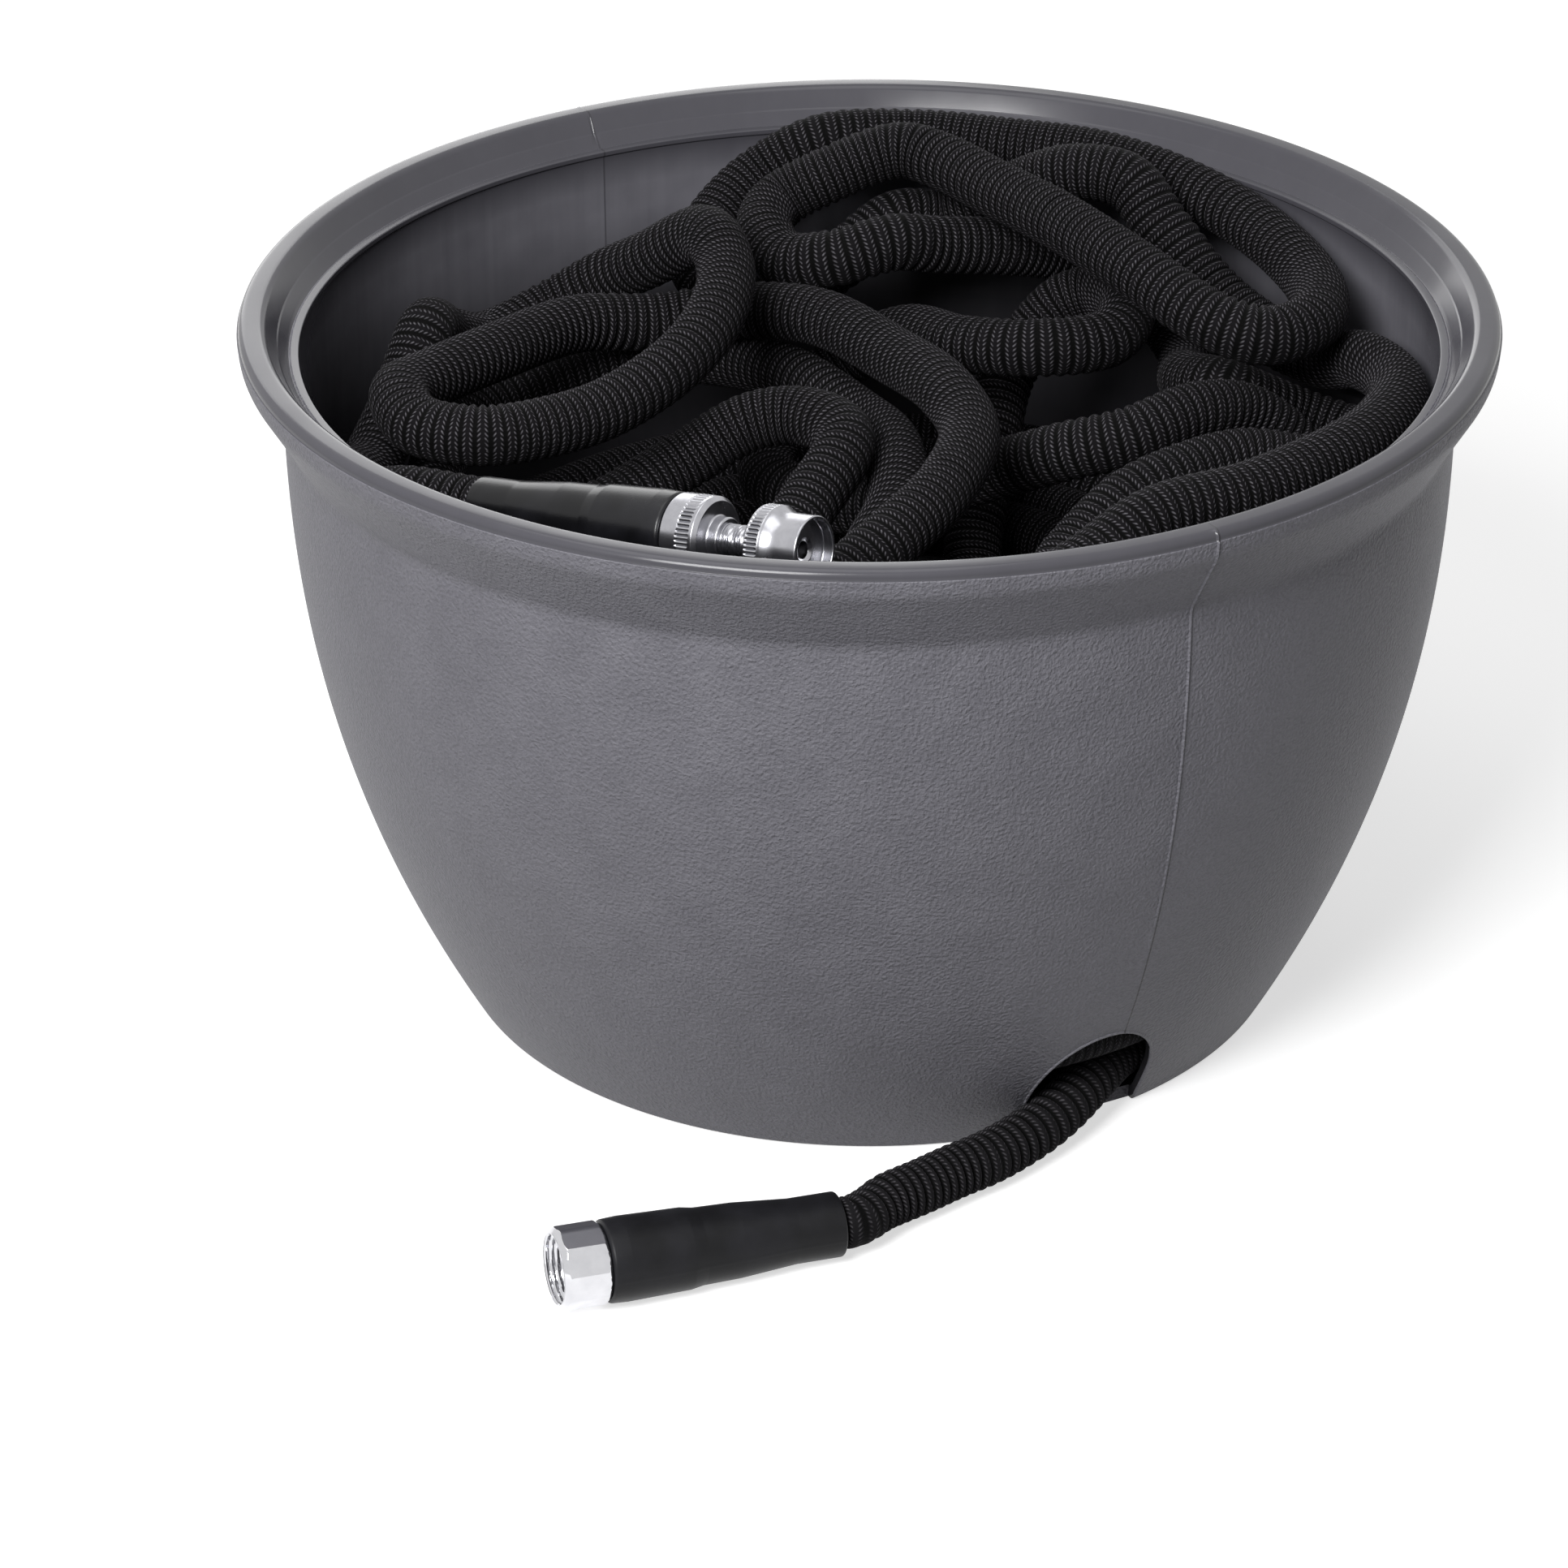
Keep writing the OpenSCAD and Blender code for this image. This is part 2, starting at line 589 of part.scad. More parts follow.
// Two rings to a rib: one in the groove, one on the crest
ribbed_path = concat([tail_seat],
    points_at(tail_curve, [for (i = [0 : 2 * rib_count]) rib_step * i / 2]));
ribbed_radii = [for (i = [0 : len(ribbed_path) - 1])
    i == 0 ? tail_r : tail_r - rib_depth * (i % 2)];
bore_path = concat([tail_seat],
    points_at(tail_curve, [for (i = [0 : 2 : rib_count]) tail_run * i / rib_count]),
    rib_count % 2 == 0 ? [] : [coil_start]);
bore_radii = [for (i = [0 : len(bore_path) - 1]) hose_bore / 2 / cos(180 / tail_sides)];

module hose_tail() {
    color(fabric_black)
        bored_tube(rings(ribbed_path, ribbed_radii, tail_sides),
                   rings(bore_path, bore_radii, tail_sides));
    echo(tail_gap_mm = least_apart(ribbed_path, 4 * tail_d) - tail_d);
    echo(tail_length_mm = tail_run + cuff_len - hose_seat);
}

// ---- Hose end: cuff, ferrule and barb, alike on both ends ----
// Heights are measured forward from the cuff's front face, so the hose lies below zero.

stem_r = stem_d / 2;
stem_collar_proud = 0.4;
stem_collar_r = tail_r + stem_collar_proud;
ferrule_in_r = stem_collar_r + fit;
ferrule_out_r = ferrule_in_r + ferrule_t;
ferrule_front = -cuff_face_t - seat_gap;
stem_collar_front = ferrule_front - ferrule_flange_t - fit;
stem_collar_rear = stem_collar_front - collar_t;
barb_depth = 1;
barb_root_r = hose_bore / 2 - barb_depth;
barb_crest_r = hose_bore / 2 - fit;
barb_count = 3;
barb_pitch = 6;
// Foot and top of a barb's steep front, as shares of the pitch
barb_foot = 0.8;
barb_top = 0.7;

// Back of a cuff from its front edge: share of its swell, share of its length, bend radius
cuff_steps = [[1, 0.08, 4], [0.82, 0.26, 12], [0.7, 0.34, 12], [0.22, 0.58, 16], [0, 0.76, 12]];
// Narrowing of the front face, and the radii of the cuff's front and rear edges
cuff_face_draft = 0.4;
cuff_front_edge_r = 1.6;
cuff_rear_edge_r = 1;
// Slack behind the ferrule in its pocket, and the slope that leads into the pocket
pocket_slack = 1;
pocket_slope = 2;

// Moulded rubber sleeve, swelling in two soft steps towards its fitting
module cuff() {
    front_r = cuff_d / 2;
    rear_r = cuff_tail_d / 2;
    pocket_r = ferrule_out_r + fit;
    pocket_end = ferrule_front - ferrule_len - pocket_slack;
    back = [for (s = cuff_steps) [rear_r + (front_r - rear_r) * s[0], -cuff_len * s[1], s[2]]];
    shape = outline(concat(
        [[stem_r + seat_gap, 0, 0], [front_r - cuff_face_draft, 0, cuff_front_edge_r]],
        back,
        [[rear_r, -cuff_len, cuff_rear_edge_r],
         [tail_r + seat_gap, -cuff_len, 0],
         [tail_r + seat_gap, pocket_end - pocket_slope, 0],
         [pocket_r, pocket_end, 0],
         [pocket_r, -cuff_face_t, 0],
         [stem_r + seat_gap, -cuff_face_t, 0]]));
    color(rubber_black) rotate_extrude() polygon(shape);
}

// Sleeve crimped over the hose, hooked in front of the hose end's collar
module ferrule() {
    crimp_depth = 0.5;
    crimp_w = 3;
    crimp_places = [0.25, 0.5];
    front_edge_r = 1;
    rear_edge_r = 0.4;
    rear = ferrule_front - ferrule_len;
    color(alloy_tint)
        difference() {
            rotate_extrude()
                polygon(outline([
                    [stem_r + fit, ferrule_front, 0],
                    [ferrule_out_r, ferrule_front, front_edge_r],
                    [ferrule_out_r, rear, rear_edge_r],
                    [ferrule_in_r, rear, 0],
                    [ferrule_in_r, ferrule_front - ferrule_flange_t, 0],
                    [stem_r + fit, ferrule_front - ferrule_flange_t, 0]]));
            for (place = crimp_places)
                translate([0, 0, rear + ferrule_len * place])
                    difference() {
                        cylinder(r = ferrule_out_r + 1, h = crimp_w);
                        cylinder(r = ferrule_out_r - crimp_depth, h = crimp_w);
                    }
        }
}

// Outline of a hose end behind its neck: collar, then barbs that narrow to the rear
function barb_outline() = concat(
    [[stem_r, stem_collar_front, 0],
     [stem_collar_r, stem_collar_front, 0],
     [stem_collar_r, stem_collar_rear, 0],
     [barb_root_r, stem_collar_rear, 0]],
    flat([for (i = [1 : barb_count]) let (z = stem_collar_rear - barb_pitch * i)
        [[barb_root_r, z + barb_pitch * barb_foot, 0],
         [barb_crest_r, z + barb_pitch * barb_top, 0],
         [barb_root_r, z, 0]]]),
    [[stem_bore / 2, stem_collar_rear - barb_pitch * barb_count, 0]]);

washer_r = thread_bore / 2 - fit;
module washer(z) {
    color(washer_black)
        translate([0, 0, z])
            difference() {
                cylinder(r = washer_r, h = washer_t);
                translate([0, 0, -1]) cylinder(d = washer_bore, h = washer_t + 2);
            }
}

// ---- Coupling ----

nut_rear = seat_gap;
stem_flange_rear = nut_rear + nut_flange_t + seat_gap;
coupling_washer_rear = stem_flange_rear + collar_t + seat_gap;

module at_tail() {
    along(tail_cuff_face, coupling_yaw, coupling_rise) children();
}

module tail_cuff() {
    at_tail() cuff();
}

module tail_ferrule() {
    at_tail() ferrule();
}

// Tailpiece whose front flange the nut turns behind
module tail_stem() {
    flange_gap = 0.6;
    flange_r = thread_bore / 2 - flange_gap;
    color(alloy_tint)
        at_tail()
            rotate_extrude()
                polygon(outline(concat(
                    [[stem_bore / 2, stem_flange_rear + collar_t, 0],
                     [flange_r, stem_flange_rear + collar_t, 0],
                     [flange_r, stem_flange_rear, 0],
                     [stem_r, stem_flange_rear, 0]],
                    barb_outline())));
}

// Swivel nut: ten flats with their corners turned down, bevelled at both ends
module coupling_nut() {
    front = nut_rear + nut_len;
    corner_proud = 0.5;
    corner_r = nut_flats_w / 2 + corner_proud;
    rear_bevel = 1.4;
    front_bevel = 2.24;
    rear_edge_r = 0.6;
    side_edge_r = 1;
    front_edge_r = 0.8;
    color(chrome_tint)
        at_tail()
            difference() {
                intersection() {
                    rotate_extrude()
                        polygon(outline([
                            [0, nut_rear, 0], [corner_r - rear_bevel, nut_rear, 0],
                            [corner_r, nut_rear + rear_bevel, rear_edge_r],
                            [corner_r, front - front_bevel, side_edge_r],
                            [corner_r - front_bevel, front, front_edge_r], [0, front, 0]]));
                    translate([0, 0, nut_rear - 1])
                        cylinder(d = nut_flats_w / cos(180 / nut_flats), h = nut_len + 2,
                                 $fn = nut_flats);
                }
                translate([0, 0, nut_rear + nut_flange_t])
                    cylinder(d = thread_bore, h = nut_len);
                translate([0, 0, nut_rear - 1])
                    cylinder(r = stem_r + seat_gap, h = nut_flange_t + 2);
            }
}

module coupling_washer() {
    at_tail() washer(coupling_washer_rear);
}

// ---- Nozzle ----
// Heights are measured forward from the nozzle cuff's front face.

ring_z = seat_gap;
ring_front = ring_z + ring_len;
// Thread left bare ahead of the male end, which the washer closes
thread_runout = 1.4;
ring_floor = ring_z + male_len + washer_t + thread_runout;
male_front = ring_floor - washer_t - fit;
shoulder_front = ring_front + shoulder_len;
barrel_rear = shoulder_front + neck_gap;
barrel_front = barrel_rear + barrel_len;
neck_r = neck_rod_d / 2;
seal_seat = 1.5;
seal_rear = barrel_rear + seal_seat;
seal_t = 2;
seal_depth = 1.8;
// The neck narrows to its plug tip ahead of the seal's furthest place
travel_out = 2;
neck_spare = 0.8;
neck_end = seal_rear + seal_t + travel_out + neck_spare;
tip_slope = 1.6;
tip_start = neck_end + tip_slope;
tip_len = 3.4;
tip_end = tip_start + tip_len;
tip_clear = 0.4;
tip_r = orifice_d / 2 - tip_clear;
disc_t = 2;
disc_front = barrel_front - mouth_depth;

module at_nozzle() {
    along(nozzle_cuff_face, nozzle_yaw, nozzle_rise) children();
}

// Straight grooves round a band, which leave a knurl standing between them
module knurl_grooves(r, from, width) {
    groove_w = 1.2;
    for (k = [0 : knurl_count - 1])
        rotate(360 * k / knurl_count)
            translate([r - knurl_depth, -groove_w / 2, from])
                cube([knurl_depth * 2, groove_w, width]);
}

module nozzle_cuff() {
    at_nozzle() cuff();
}

module nozzle_ferrule() {
    at_nozzle() ferrule();
}

// Male hose end, screwed into the nozzle's base
module nozzle_stem() {
    thread_r = thread_bore / 2 - fit;
    bevel = 1;
    thread_rear = ring_z + bevel;
    color(alloy_tint)
        at_nozzle()
            rotate_extrude()
                polygon(outline(concat(
                    [[stem_bore / 2, male_front, 0],
                     [thread_r - bevel, male_front, 0],
                     [thread_r, male_front - bevel, 0],
                     [thread_r, thread_rear, 0],
                     [stem_r, thread_rear, 0]],
                    barb_outline())));
}

module nozzle_washer() {
    at_nozzle() washer(ring_floor - washer_t);
}

// Ring, shoulder and neck turned from one bar, ending in the plug tip
module nozzle_base() {
    ring_r = ring_d / 2;
    knurl_rear = ring_front - 3 - ring_knurl_w;
    rear_bevel = 1;
    front_bevel = 1.6;
    edge_r = 0.6;
    shoulder_edge_r = 0.8;
    tip_edge_r = 1;
    waterway_r = 3;
    waterway_end = neck_end - 1;
    cross_hole_d = 3;
    color(alloy_tint)
        at_nozzle()
            difference() {
                rotate_extrude()
                    polygon(outline([
                        [thread_bore / 2, ring_z, 0],
                        [ring_r - rear_bevel, ring_z, 0],
                        [ring_r, ring_z + rear_bevel, edge_r],
                        [ring_r, ring_front - front_bevel, edge_r],
                        [ring_r - front_bevel, ring_front, edge_r],
                        [shoulder_d / 2, ring_front, shoulder_edge_r],
                        [shoulder_d / 2, shoulder_front, shoulder_edge_r],
                        [neck_r, shoulder_front, 0],
                        [neck_r, neck_end, 0],
                        [tip_r, tip_start, 0],
                        [tip_r, tip_end, tip_edge_r],
                        [0, tip_end, 0],
                        [0, waterway_end, 0],
                        [waterway_r, waterway_end, 0],
                        [waterway_r, ring_floor, 0],
                        [thread_bore / 2, ring_floor, 0]]));
                knurl_grooves(ring_r, knurl_rear, ring_knurl_w);
                // Cross hole that lets the water out round the tip
                translate([0, 0, waterway_end - cross_hole_d / 2])
                    rotate([90, 0, 0])
                        cylinder(d = cross_hole_d, h = neck_rod_d + 2, center = true);
            }
}

module nozzle_seal() {
    color(washer_black)
        at_nozzle()
            translate([0, 0, seal_rear])
                difference() {
                    cylinder(r = neck_r + seal_depth, h = seal_t);
                    translate([0, 0, -1]) cylinder(r = neck_r + neck_clear, h = seal_t + 2);
                }
}

// Barrel with a knurled collar, a hollow sweep down to the mouth and a disc inside it
module nozzle_barrel() {
    collar_r = collar_d / 2;
    mouth_r = mouth_d / 2;
    guide_r = neck_r + neck_clear;
    seal_pocket_r = neck_r + seal_depth + fit;
    chamber_depth = 3.4;
    chamber_r = neck_r + chamber_depth;
    seal_front = seal_rear + seal_t;
    seal_wall = 1.5;
    collar_front = barrel_rear + collar_w;
    rear_bevel = 1.2;
    front_bevel = 0.8;
    edge_r = 0.5;
    sweep = 6;
    sweep_r = collar_r - front_bevel;
    hollow = [for (k = [1 : 4])
        [mouth_r + (sweep_r - mouth_r) * pow(1 - k / 5, 2), collar_front + sweep * k / 5, 0]];
    color(alloy_tint)
        at_nozzle()
            difference() {
                rotate_extrude()
                    polygon(outline(concat(
                        [[guide_r, barrel_rear, 0],
                         [collar_r - rear_bevel, barrel_rear, 0],
                         [collar_r, barrel_rear + rear_bevel, edge_r],
                         [collar_r, collar_front - front_bevel, edge_r],
                         [sweep_r, collar_front, 0]],
                        hollow,
                        [[mouth_r, collar_front + sweep, 0],
                         [mouth_r, barrel_front, edge_r],
                         [mouth_bore / 2, barrel_front, 0],
                         [mouth_bore / 2, disc_front, 0],
                         [orifice_d / 2, disc_front, 0],
                         [orifice_d / 2, disc_front - disc_t, 0],
                         [chamber_r, disc_front - disc_t, 0],
                         [chamber_r, seal_front + seal_wall, 0],
                         [guide_r, seal_front + seal_wall, 0],
                         [guide_r, seal_front + fit, 0],
                         [seal_pocket_r, seal_front + fit, 0],
                         [seal_pocket_r, seal_rear - fit, 0],
                         [guide_r, seal_rear - fit, 0]])));
                knurl_grooves(collar_r, barrel_rear + rear_bevel, collar_w - rear_bevel - front_bevel);
            }
}

pot();
hose_coil();
coil_core();
hose_lower();
hose_middle();
hose_upper();
hose_left();
hose_tail();
tail_cuff();
tail_ferrule();
tail_stem();
coupling_nut();
coupling_washer();
nozzle_cuff();
nozzle_ferrule();
nozzle_stem();
nozzle_washer();
nozzle_base();
nozzle_seal();
nozzle_barrel();
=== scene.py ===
"""Scene of a garden hose pot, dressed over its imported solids.

A slate grey moulded pot holds a black knitted hose: wound in the bottom, loose on top, and
out through a low outlet. Each end of the hose has a rubber cuff. One end carries a swivel
nut, the other a twist nozzle. Sizes are written in millimetres; MM makes them metres.
"""

import logging
import math
from collections.abc import Callable, Sequence
from dataclasses import dataclass, field, replace
from enum import Enum

import bmesh
import bpy
import numpy as np
from mathutils import Matrix, Vector


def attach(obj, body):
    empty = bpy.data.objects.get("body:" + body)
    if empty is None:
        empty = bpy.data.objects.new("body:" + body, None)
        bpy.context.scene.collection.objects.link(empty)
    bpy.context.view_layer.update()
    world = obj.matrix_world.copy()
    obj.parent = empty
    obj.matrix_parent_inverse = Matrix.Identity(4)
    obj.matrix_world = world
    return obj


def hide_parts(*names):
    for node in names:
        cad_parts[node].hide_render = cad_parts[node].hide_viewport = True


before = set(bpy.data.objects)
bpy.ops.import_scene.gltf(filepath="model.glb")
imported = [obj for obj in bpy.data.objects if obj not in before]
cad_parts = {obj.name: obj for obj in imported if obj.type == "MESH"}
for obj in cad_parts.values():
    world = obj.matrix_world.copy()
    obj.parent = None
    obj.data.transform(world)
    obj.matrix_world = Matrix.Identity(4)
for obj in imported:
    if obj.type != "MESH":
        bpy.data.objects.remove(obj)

LOG = logging.getLogger("hose_pot")
MM = 0.001
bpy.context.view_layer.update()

Row = Sequence[float]
Moved = tuple[np.ndarray, np.ndarray]
Relief = Callable[[np.ndarray, np.ndarray, np.ndarray], Moved]
Source = bpy.types.Node | tuple[bpy.types.Node, str]

UP = np.array([0.0, 0.0, 1.0])
FULL_TURN = 2 * math.pi

# Routes, in millimetres: the loose hose in four stretches, each on from the end of
# the one before, and the tail
COIL_TOP_Z = 147.5
LOWER_ROUTE: tuple[Row, ...] = (
    (41, 25, COIL_TOP_Z), (43, 42, 150), (44, 58, 162), (48, 75, 175), (52, 100, 185),
    (60, 130, 205), (80, 140, 230), (100, 135, 240), (110, 110, 245), (100, 85, 240),
    (70, 75, 240), (40, 90, 235), (15, 125, 225), (-15, 135, 205), (-40, 110, 185),
    (-40, 70, 180), (0, 35, 185), (40, 20, 205), (75, 0, 225), (105, -5, 235),
    (135, 10, 240), (160, 25, 230), (185, 25, 205), (200, 0, 185), (205, -45, 180),
    (190, -95, 180), (140, -150, 180), (75, -190, 185), (10, -200, 190), (-40, -180, 190),
    (-55, -135, 200), (-45, -90, 210), (-25, -50, 225), (-10, -10, 235), (-25, 15, 235),
    (-50, 20, 230), (-80, 10, 215), (-110, -10, 205), (-145, -20, 200), (-175, 0, 195),
    (-180, 45, 200),
)
MIDDLE_ROUTE: tuple[Row, ...] = (
    (-170, 90, 200), (-140, 115, 205), (-105, 130, 210), (-70, 135, 210), (-35, 105, 215),
    (-5, 60, 215), (10, 15, 220), (10, -30, 215), (0, -70, 210), (5, -105, 205),
    (30, -120, 200), (60, -110, 205), (80, -75, 215), (100, -50, 225), (120, -35, 230),
    (150, -15, 230), (180, -10, 225), (205, 0, 220), (212, 25, 215), (205, 50, 210),
    (180, 60, 215), (150, 55, 230), (135, 75, 225), (135, 105, 215), (135, 135, 215),
    (115, 165, 230), (85, 165, 245), (55, 150, 255), (30, 140, 260), (10, 130, 265),
    (-15, 125, 260), (-35, 135, 255), (-45, 155, 260), (-40, 175, 265), (-20, 180, 275),
    (10, 185, 285), (30, 175, 285), (55, 140, 285), (80, 105, 285),
)
UPPER_ROUTE: tuple[Row, ...] = (
    (110, 65, 280), (140, 35, 270), (165, 30, 265), (185, 50, 265), (185, 90, 265),
    (165, 135, 270), (135, 170, 275), (100, 190, 280), (60, 205, 280), (20, 215, 280),
    (-20, 210, 280), (-50, 205, 265), (-70, 185, 250), (-75, 165, 240), (-60, 150, 230),
    (-40, 150, 230), (-15, 165, 240), (10, 180, 255), (35, 185, 255), (60, 175, 270),
    (85, 160, 285), (110, 150, 285), (125, 135, 270), (145, 115, 250), (165, 95, 240),
    (190, 75, 235), (205, 50, 245), (215, 15, 250), (210, -25, 255), (190, -70, 260),
    (150, -110, 260), (110, -135, 260), (80, -160, 250), (45, -185, 240), (10, -200, 230),
    (-20, -180, 230), (-15, -150, 235), (10, -120, 245), (30, -85, 250),
)
LEFT_ROUTE: tuple[Row, ...] = (
    (40, -35, 250), (30, 10, 250), (10, 55, 245), (-20, 95, 245), (-55, 115, 240),
    (-90, 115, 235), (-125, 100, 240), (-155, 60, 245), (-180, 20, 250), (-190, -10, 256),
    (-180, -40, 256), (-155, -50, 256), (-130, -40, 255), (-105, -20, 255), (-80, 10, 260),
    (-65, 45, 265), (-60, 85, 270), (-70, 115, 275), (-95, 135, 255), (-115, 150, 240),
    (-140, 150, 225), (-165, 130, 220), (-180, 100, 235), (-185, 70, 250), (-195, 40, 230),
    (-205, 0, 220), (-210, -35, 230), (-200, -75, 240), (-180, -95, 250),
)
TAIL_ROUTE: tuple[Row, ...] = (
    (7, -232, 12.5), (20, -221, 12), (33, -210, 12), (46, -200, 12), (58, -188, 12),
    (69, -176, 13), (79, -163, 15), (89, -147, 17.5),
)


# ---- Colours and nodes ----


def linear(code: str) -> tuple[float, float, float, float]:
    """Turns an sRGB hex colour into a linear one.

    Args:
        code: Colour such as "#6B6A70".

    Returns:
        Red, green, blue and alpha, linear.
    """
    channels = [int(code[i : i + 2], 16) / 255 for i in (1, 3, 5)]
    red, green, blue = (
        c / 12.92 if c <= 0.04045 else ((c + 0.055) / 1.055) ** 2.4 for c in channels
    )
    return red, green, blue, 1.0


def add_node(
    tree: bpy.types.NodeTree,
    kind: str,
    inputs: dict[str | int, object] | None = None,
    **settings: object,
) -> bpy.types.Node:
    """Adds one shader node with its settings and links.

    Args:
        tree: Node tree of the material or the world.
        kind: Node type without its "ShaderNode" prefix.
        inputs: Input by name or index, to a value, to a node whose first output it
            takes, or to a (node, output) pair.
        settings: Properties of the node itself.

    Returns:
        The new node.
    """
    node = tree.nodes.new("ShaderNode" + kind)
    for name, value in settings.items():
        setattr(node, name, value)
    for key, value in (inputs or {}).items():
        source = (value, 0) if isinstance(value, bpy.types.Node) else value
        if isinstance(source, tuple) and isinstance(source[0], bpy.types.Node):
            tree.links.new(source[0].outputs[source[1]], node.inputs[key])
        else:
            node.inputs[key].default_value = value
    return node


def new_material(name: str) -> tuple[bpy.types.Material, bpy.types.NodeTree]:
    """Makes an empty node material.

    Args:
        name: Its name.

    Returns:
        The material and its emptied node tree.
    """
    material = bpy.data.materials.new(name)
    material.use_nodes = True
    material.node_tree.nodes.clear()
    return material, material.node_tree


def finish_surface(
    tree: bpy.types.NodeTree,
    colour: Source,
    roughness: Source,
    normal: Source,
    sockets: dict[str, object],
) -> None:
    """Ends a material in one Principled shader.

    Args:
        tree: Node tree.
        colour: Source of the base colour.
        roughness: Source of the roughness.
        normal: Source of the bumped normal.
        sockets: Plain values for the shader's other sockets.
    """
    sources = {"Base Color": colour, "Roughness": roughness, "Normal": normal}
    shader = add_node(tree, "BsdfPrincipled", sources | sockets)
    add_node(tree, "OutputMaterial", {"Surface": shader})


# ---- Finishes ----


@dataclass(frozen=True)
class MouldedPolyethylene:
    """Rotationally moulded polyethylene: leathery grain outside, smooth crest and inside.

    The crest and the inside of the lip are painted darker as painted shade, and the inside
    has upright flow streaks. Deep down inside, the wall is painted near black as painted shade.
    """

    name: str = "moulded_polyethylene_slate"
    tint: str = "#7A7980"
    shade: str = "#616067"
    # A little coarser than the mould's own grain, so that it shows
    grain_mm: float = 1.4
    grain_depth_mm: float = 1.0
    grain_span: tuple[float, float] = (0.35, 0.65)
    grain_tone: float = 0.2
    wave_mm: float = 46.0
    wave_depth_mm: float = 0.6
    mottle_mm: float = 23.0
    streak_mm: float = 5.0
    streak_length_mm: float = 260.0
    streak_tone: float = 0.5
    smooth_roughness: float = 0.14
    grain_roughness: float = 0.30
    mottle_roughness: float = 0.10
    smooth_above_mm: float = 289.6
    # Painted shade: the crest and the inside of the lip are darkened, coming in between these
    # heights
    lip_painted_shade: str = "#434248"
    lip_shade_share: float = 0.85
    lip_shade_mm: tuple[float, float] = (262.0, 276.0)
    # Painted shade: the inside wall goes near black below the lip, full from 200 mm down
    deep_painted_shade: str = "#1B1A1C"
    deep_shade_share: float = 0.85
    deep_shade_mm: tuple[float, float] = (250.0, 200.0)
    crack: str = "#2E2D31"
    crack_faint: float = 0.5
    crack_mm: tuple[float, float] = (180.0, 110.0)
    seam_side: Row = (0.0, 0.0, 0.0)
    seam_offset_mm: float = 0.8
    seam_width_mm: float = 0.8

    def build(self) -> bpy.types.Material:
        """Makes the material.

        Returns:
            The finished node material.
        """
        material, tree = new_material(self.name)
        place = (add_node(tree, "TexCoord"), "Object")
        height = (add_node(tree, "SeparateXYZ", {"Vector": place}), "Z")
        outside = self.outside(tree, place, height)
        inside = add_node(tree, "Math", {0: 1.0, 1: outside}, operation="SUBTRACT")
        grain = add_node(
            tree, "TexNoise", {"Vector": place, "Scale": 1 / (self.grain_mm * MM), "Detail": 2.0}
        )
        relief = add_node(tree, "Math", {0: grain, 1: outside}, operation="MULTIPLY")
        wave = add_node(
            tree, "TexNoise", {"Vector": place, "Scale": 1 / (self.wave_mm * MM), "Detail": 0.5}
        )
        mottle = add_node(
            tree, "TexNoise", {"Vector": place, "Scale": 1 / (self.mottle_mm * MM), "Detail": 5.0}
        )
        pits = add_node(
            tree,
            "MapRange",
            {
                "Value": relief,
                "From Min": self.grain_span[0],
                "From Max": self.grain_span[1],
                "To Min": -self.grain_tone,
                "To Max": self.grain_tone,
            },
        )
        patches = add_node(tree, "Math", {0: mottle, 1: pits}, operation="ADD")
        streaks = self.streaks(tree, place, inside)
        tone = add_node(
            tree, "Math", {0: patches, 1: streaks}, operation="ADD", use_clamp=True
        )
        # Painted shade on the crest and the inside of the lip
        lip = self.inside_share(tree, height, inside, self.lip_shade_mm, self.lip_shade_share)
        # Painted shade, near black, deep inside the wall
        deep_shade = self.inside_share(tree, height, inside, self.deep_shade_mm, self.deep_shade_share)
        colour: Source | tuple = linear(self.shade)
        for share, over in (
            (tone, self.tint),
            (lip, self.lip_painted_shade),
            (deep_shade, self.deep_painted_shade),
            (self.hairline(tree, place, height), self.crack),
        ):
            colour = add_node(
                tree, "MixRGB", {"Fac": share, "Color1": colour, "Color2": linear(over)}
            )
        gloss = add_node(
            tree,
            "Math",
            {0: outside, 1: self.grain_roughness, 2: self.smooth_roughness},
            operation="MULTIPLY_ADD",
        )
        roughness = add_node(
            tree,
            "Math",
            {0: mottle, 1: self.mottle_roughness, 2: gloss},
            operation="MULTIPLY_ADD",
        )
        slow = add_node(tree, "Bump", {"Height": wave, "Distance": self.wave_depth_mm * MM})
        bump = add_node(
            tree,
            "Bump",
            {"Height": relief, "Distance": self.grain_depth_mm * MM, "Normal": slow},
        )
        sockets = {"IOR": 1.51, "Specular IOR Level": 0.3}
        finish_surface(tree, colour, roughness, bump, sockets)
        return material

    def outside(self, tree: bpy.types.NodeTree, place: Source, height: Source) -> Source:
        """Tells the grained outside from the smooth crest and inside.

        Args:
            tree: Node tree.
            place: Source of the object coordinates.
            height: Source of the height.

        Returns:
            A node that gives 1 on the outside, below the crest.
        """
        shape = add_node(tree, "NewGeometry")
        flat = add_node(tree, "VectorMath", {0: place, 1: (1.0, 1.0, 0.0)}, operation="MULTIPLY")
        outward = add_node(
            tree, "VectorMath", {0: (shape, "Normal"), 1: flat}, operation="DOT_PRODUCT"
        )
        facing = add_node(
            tree, "Math", {0: (outward, "Value"), 1: 0.0}, operation="GREATER_THAN"
        )
        below = add_node(
            tree, "Math", {0: height, 1: self.smooth_above_mm * MM}, operation="LESS_THAN"
        )
        return add_node(tree, "Math", {0: facing, 1: below}, operation="MULTIPLY")

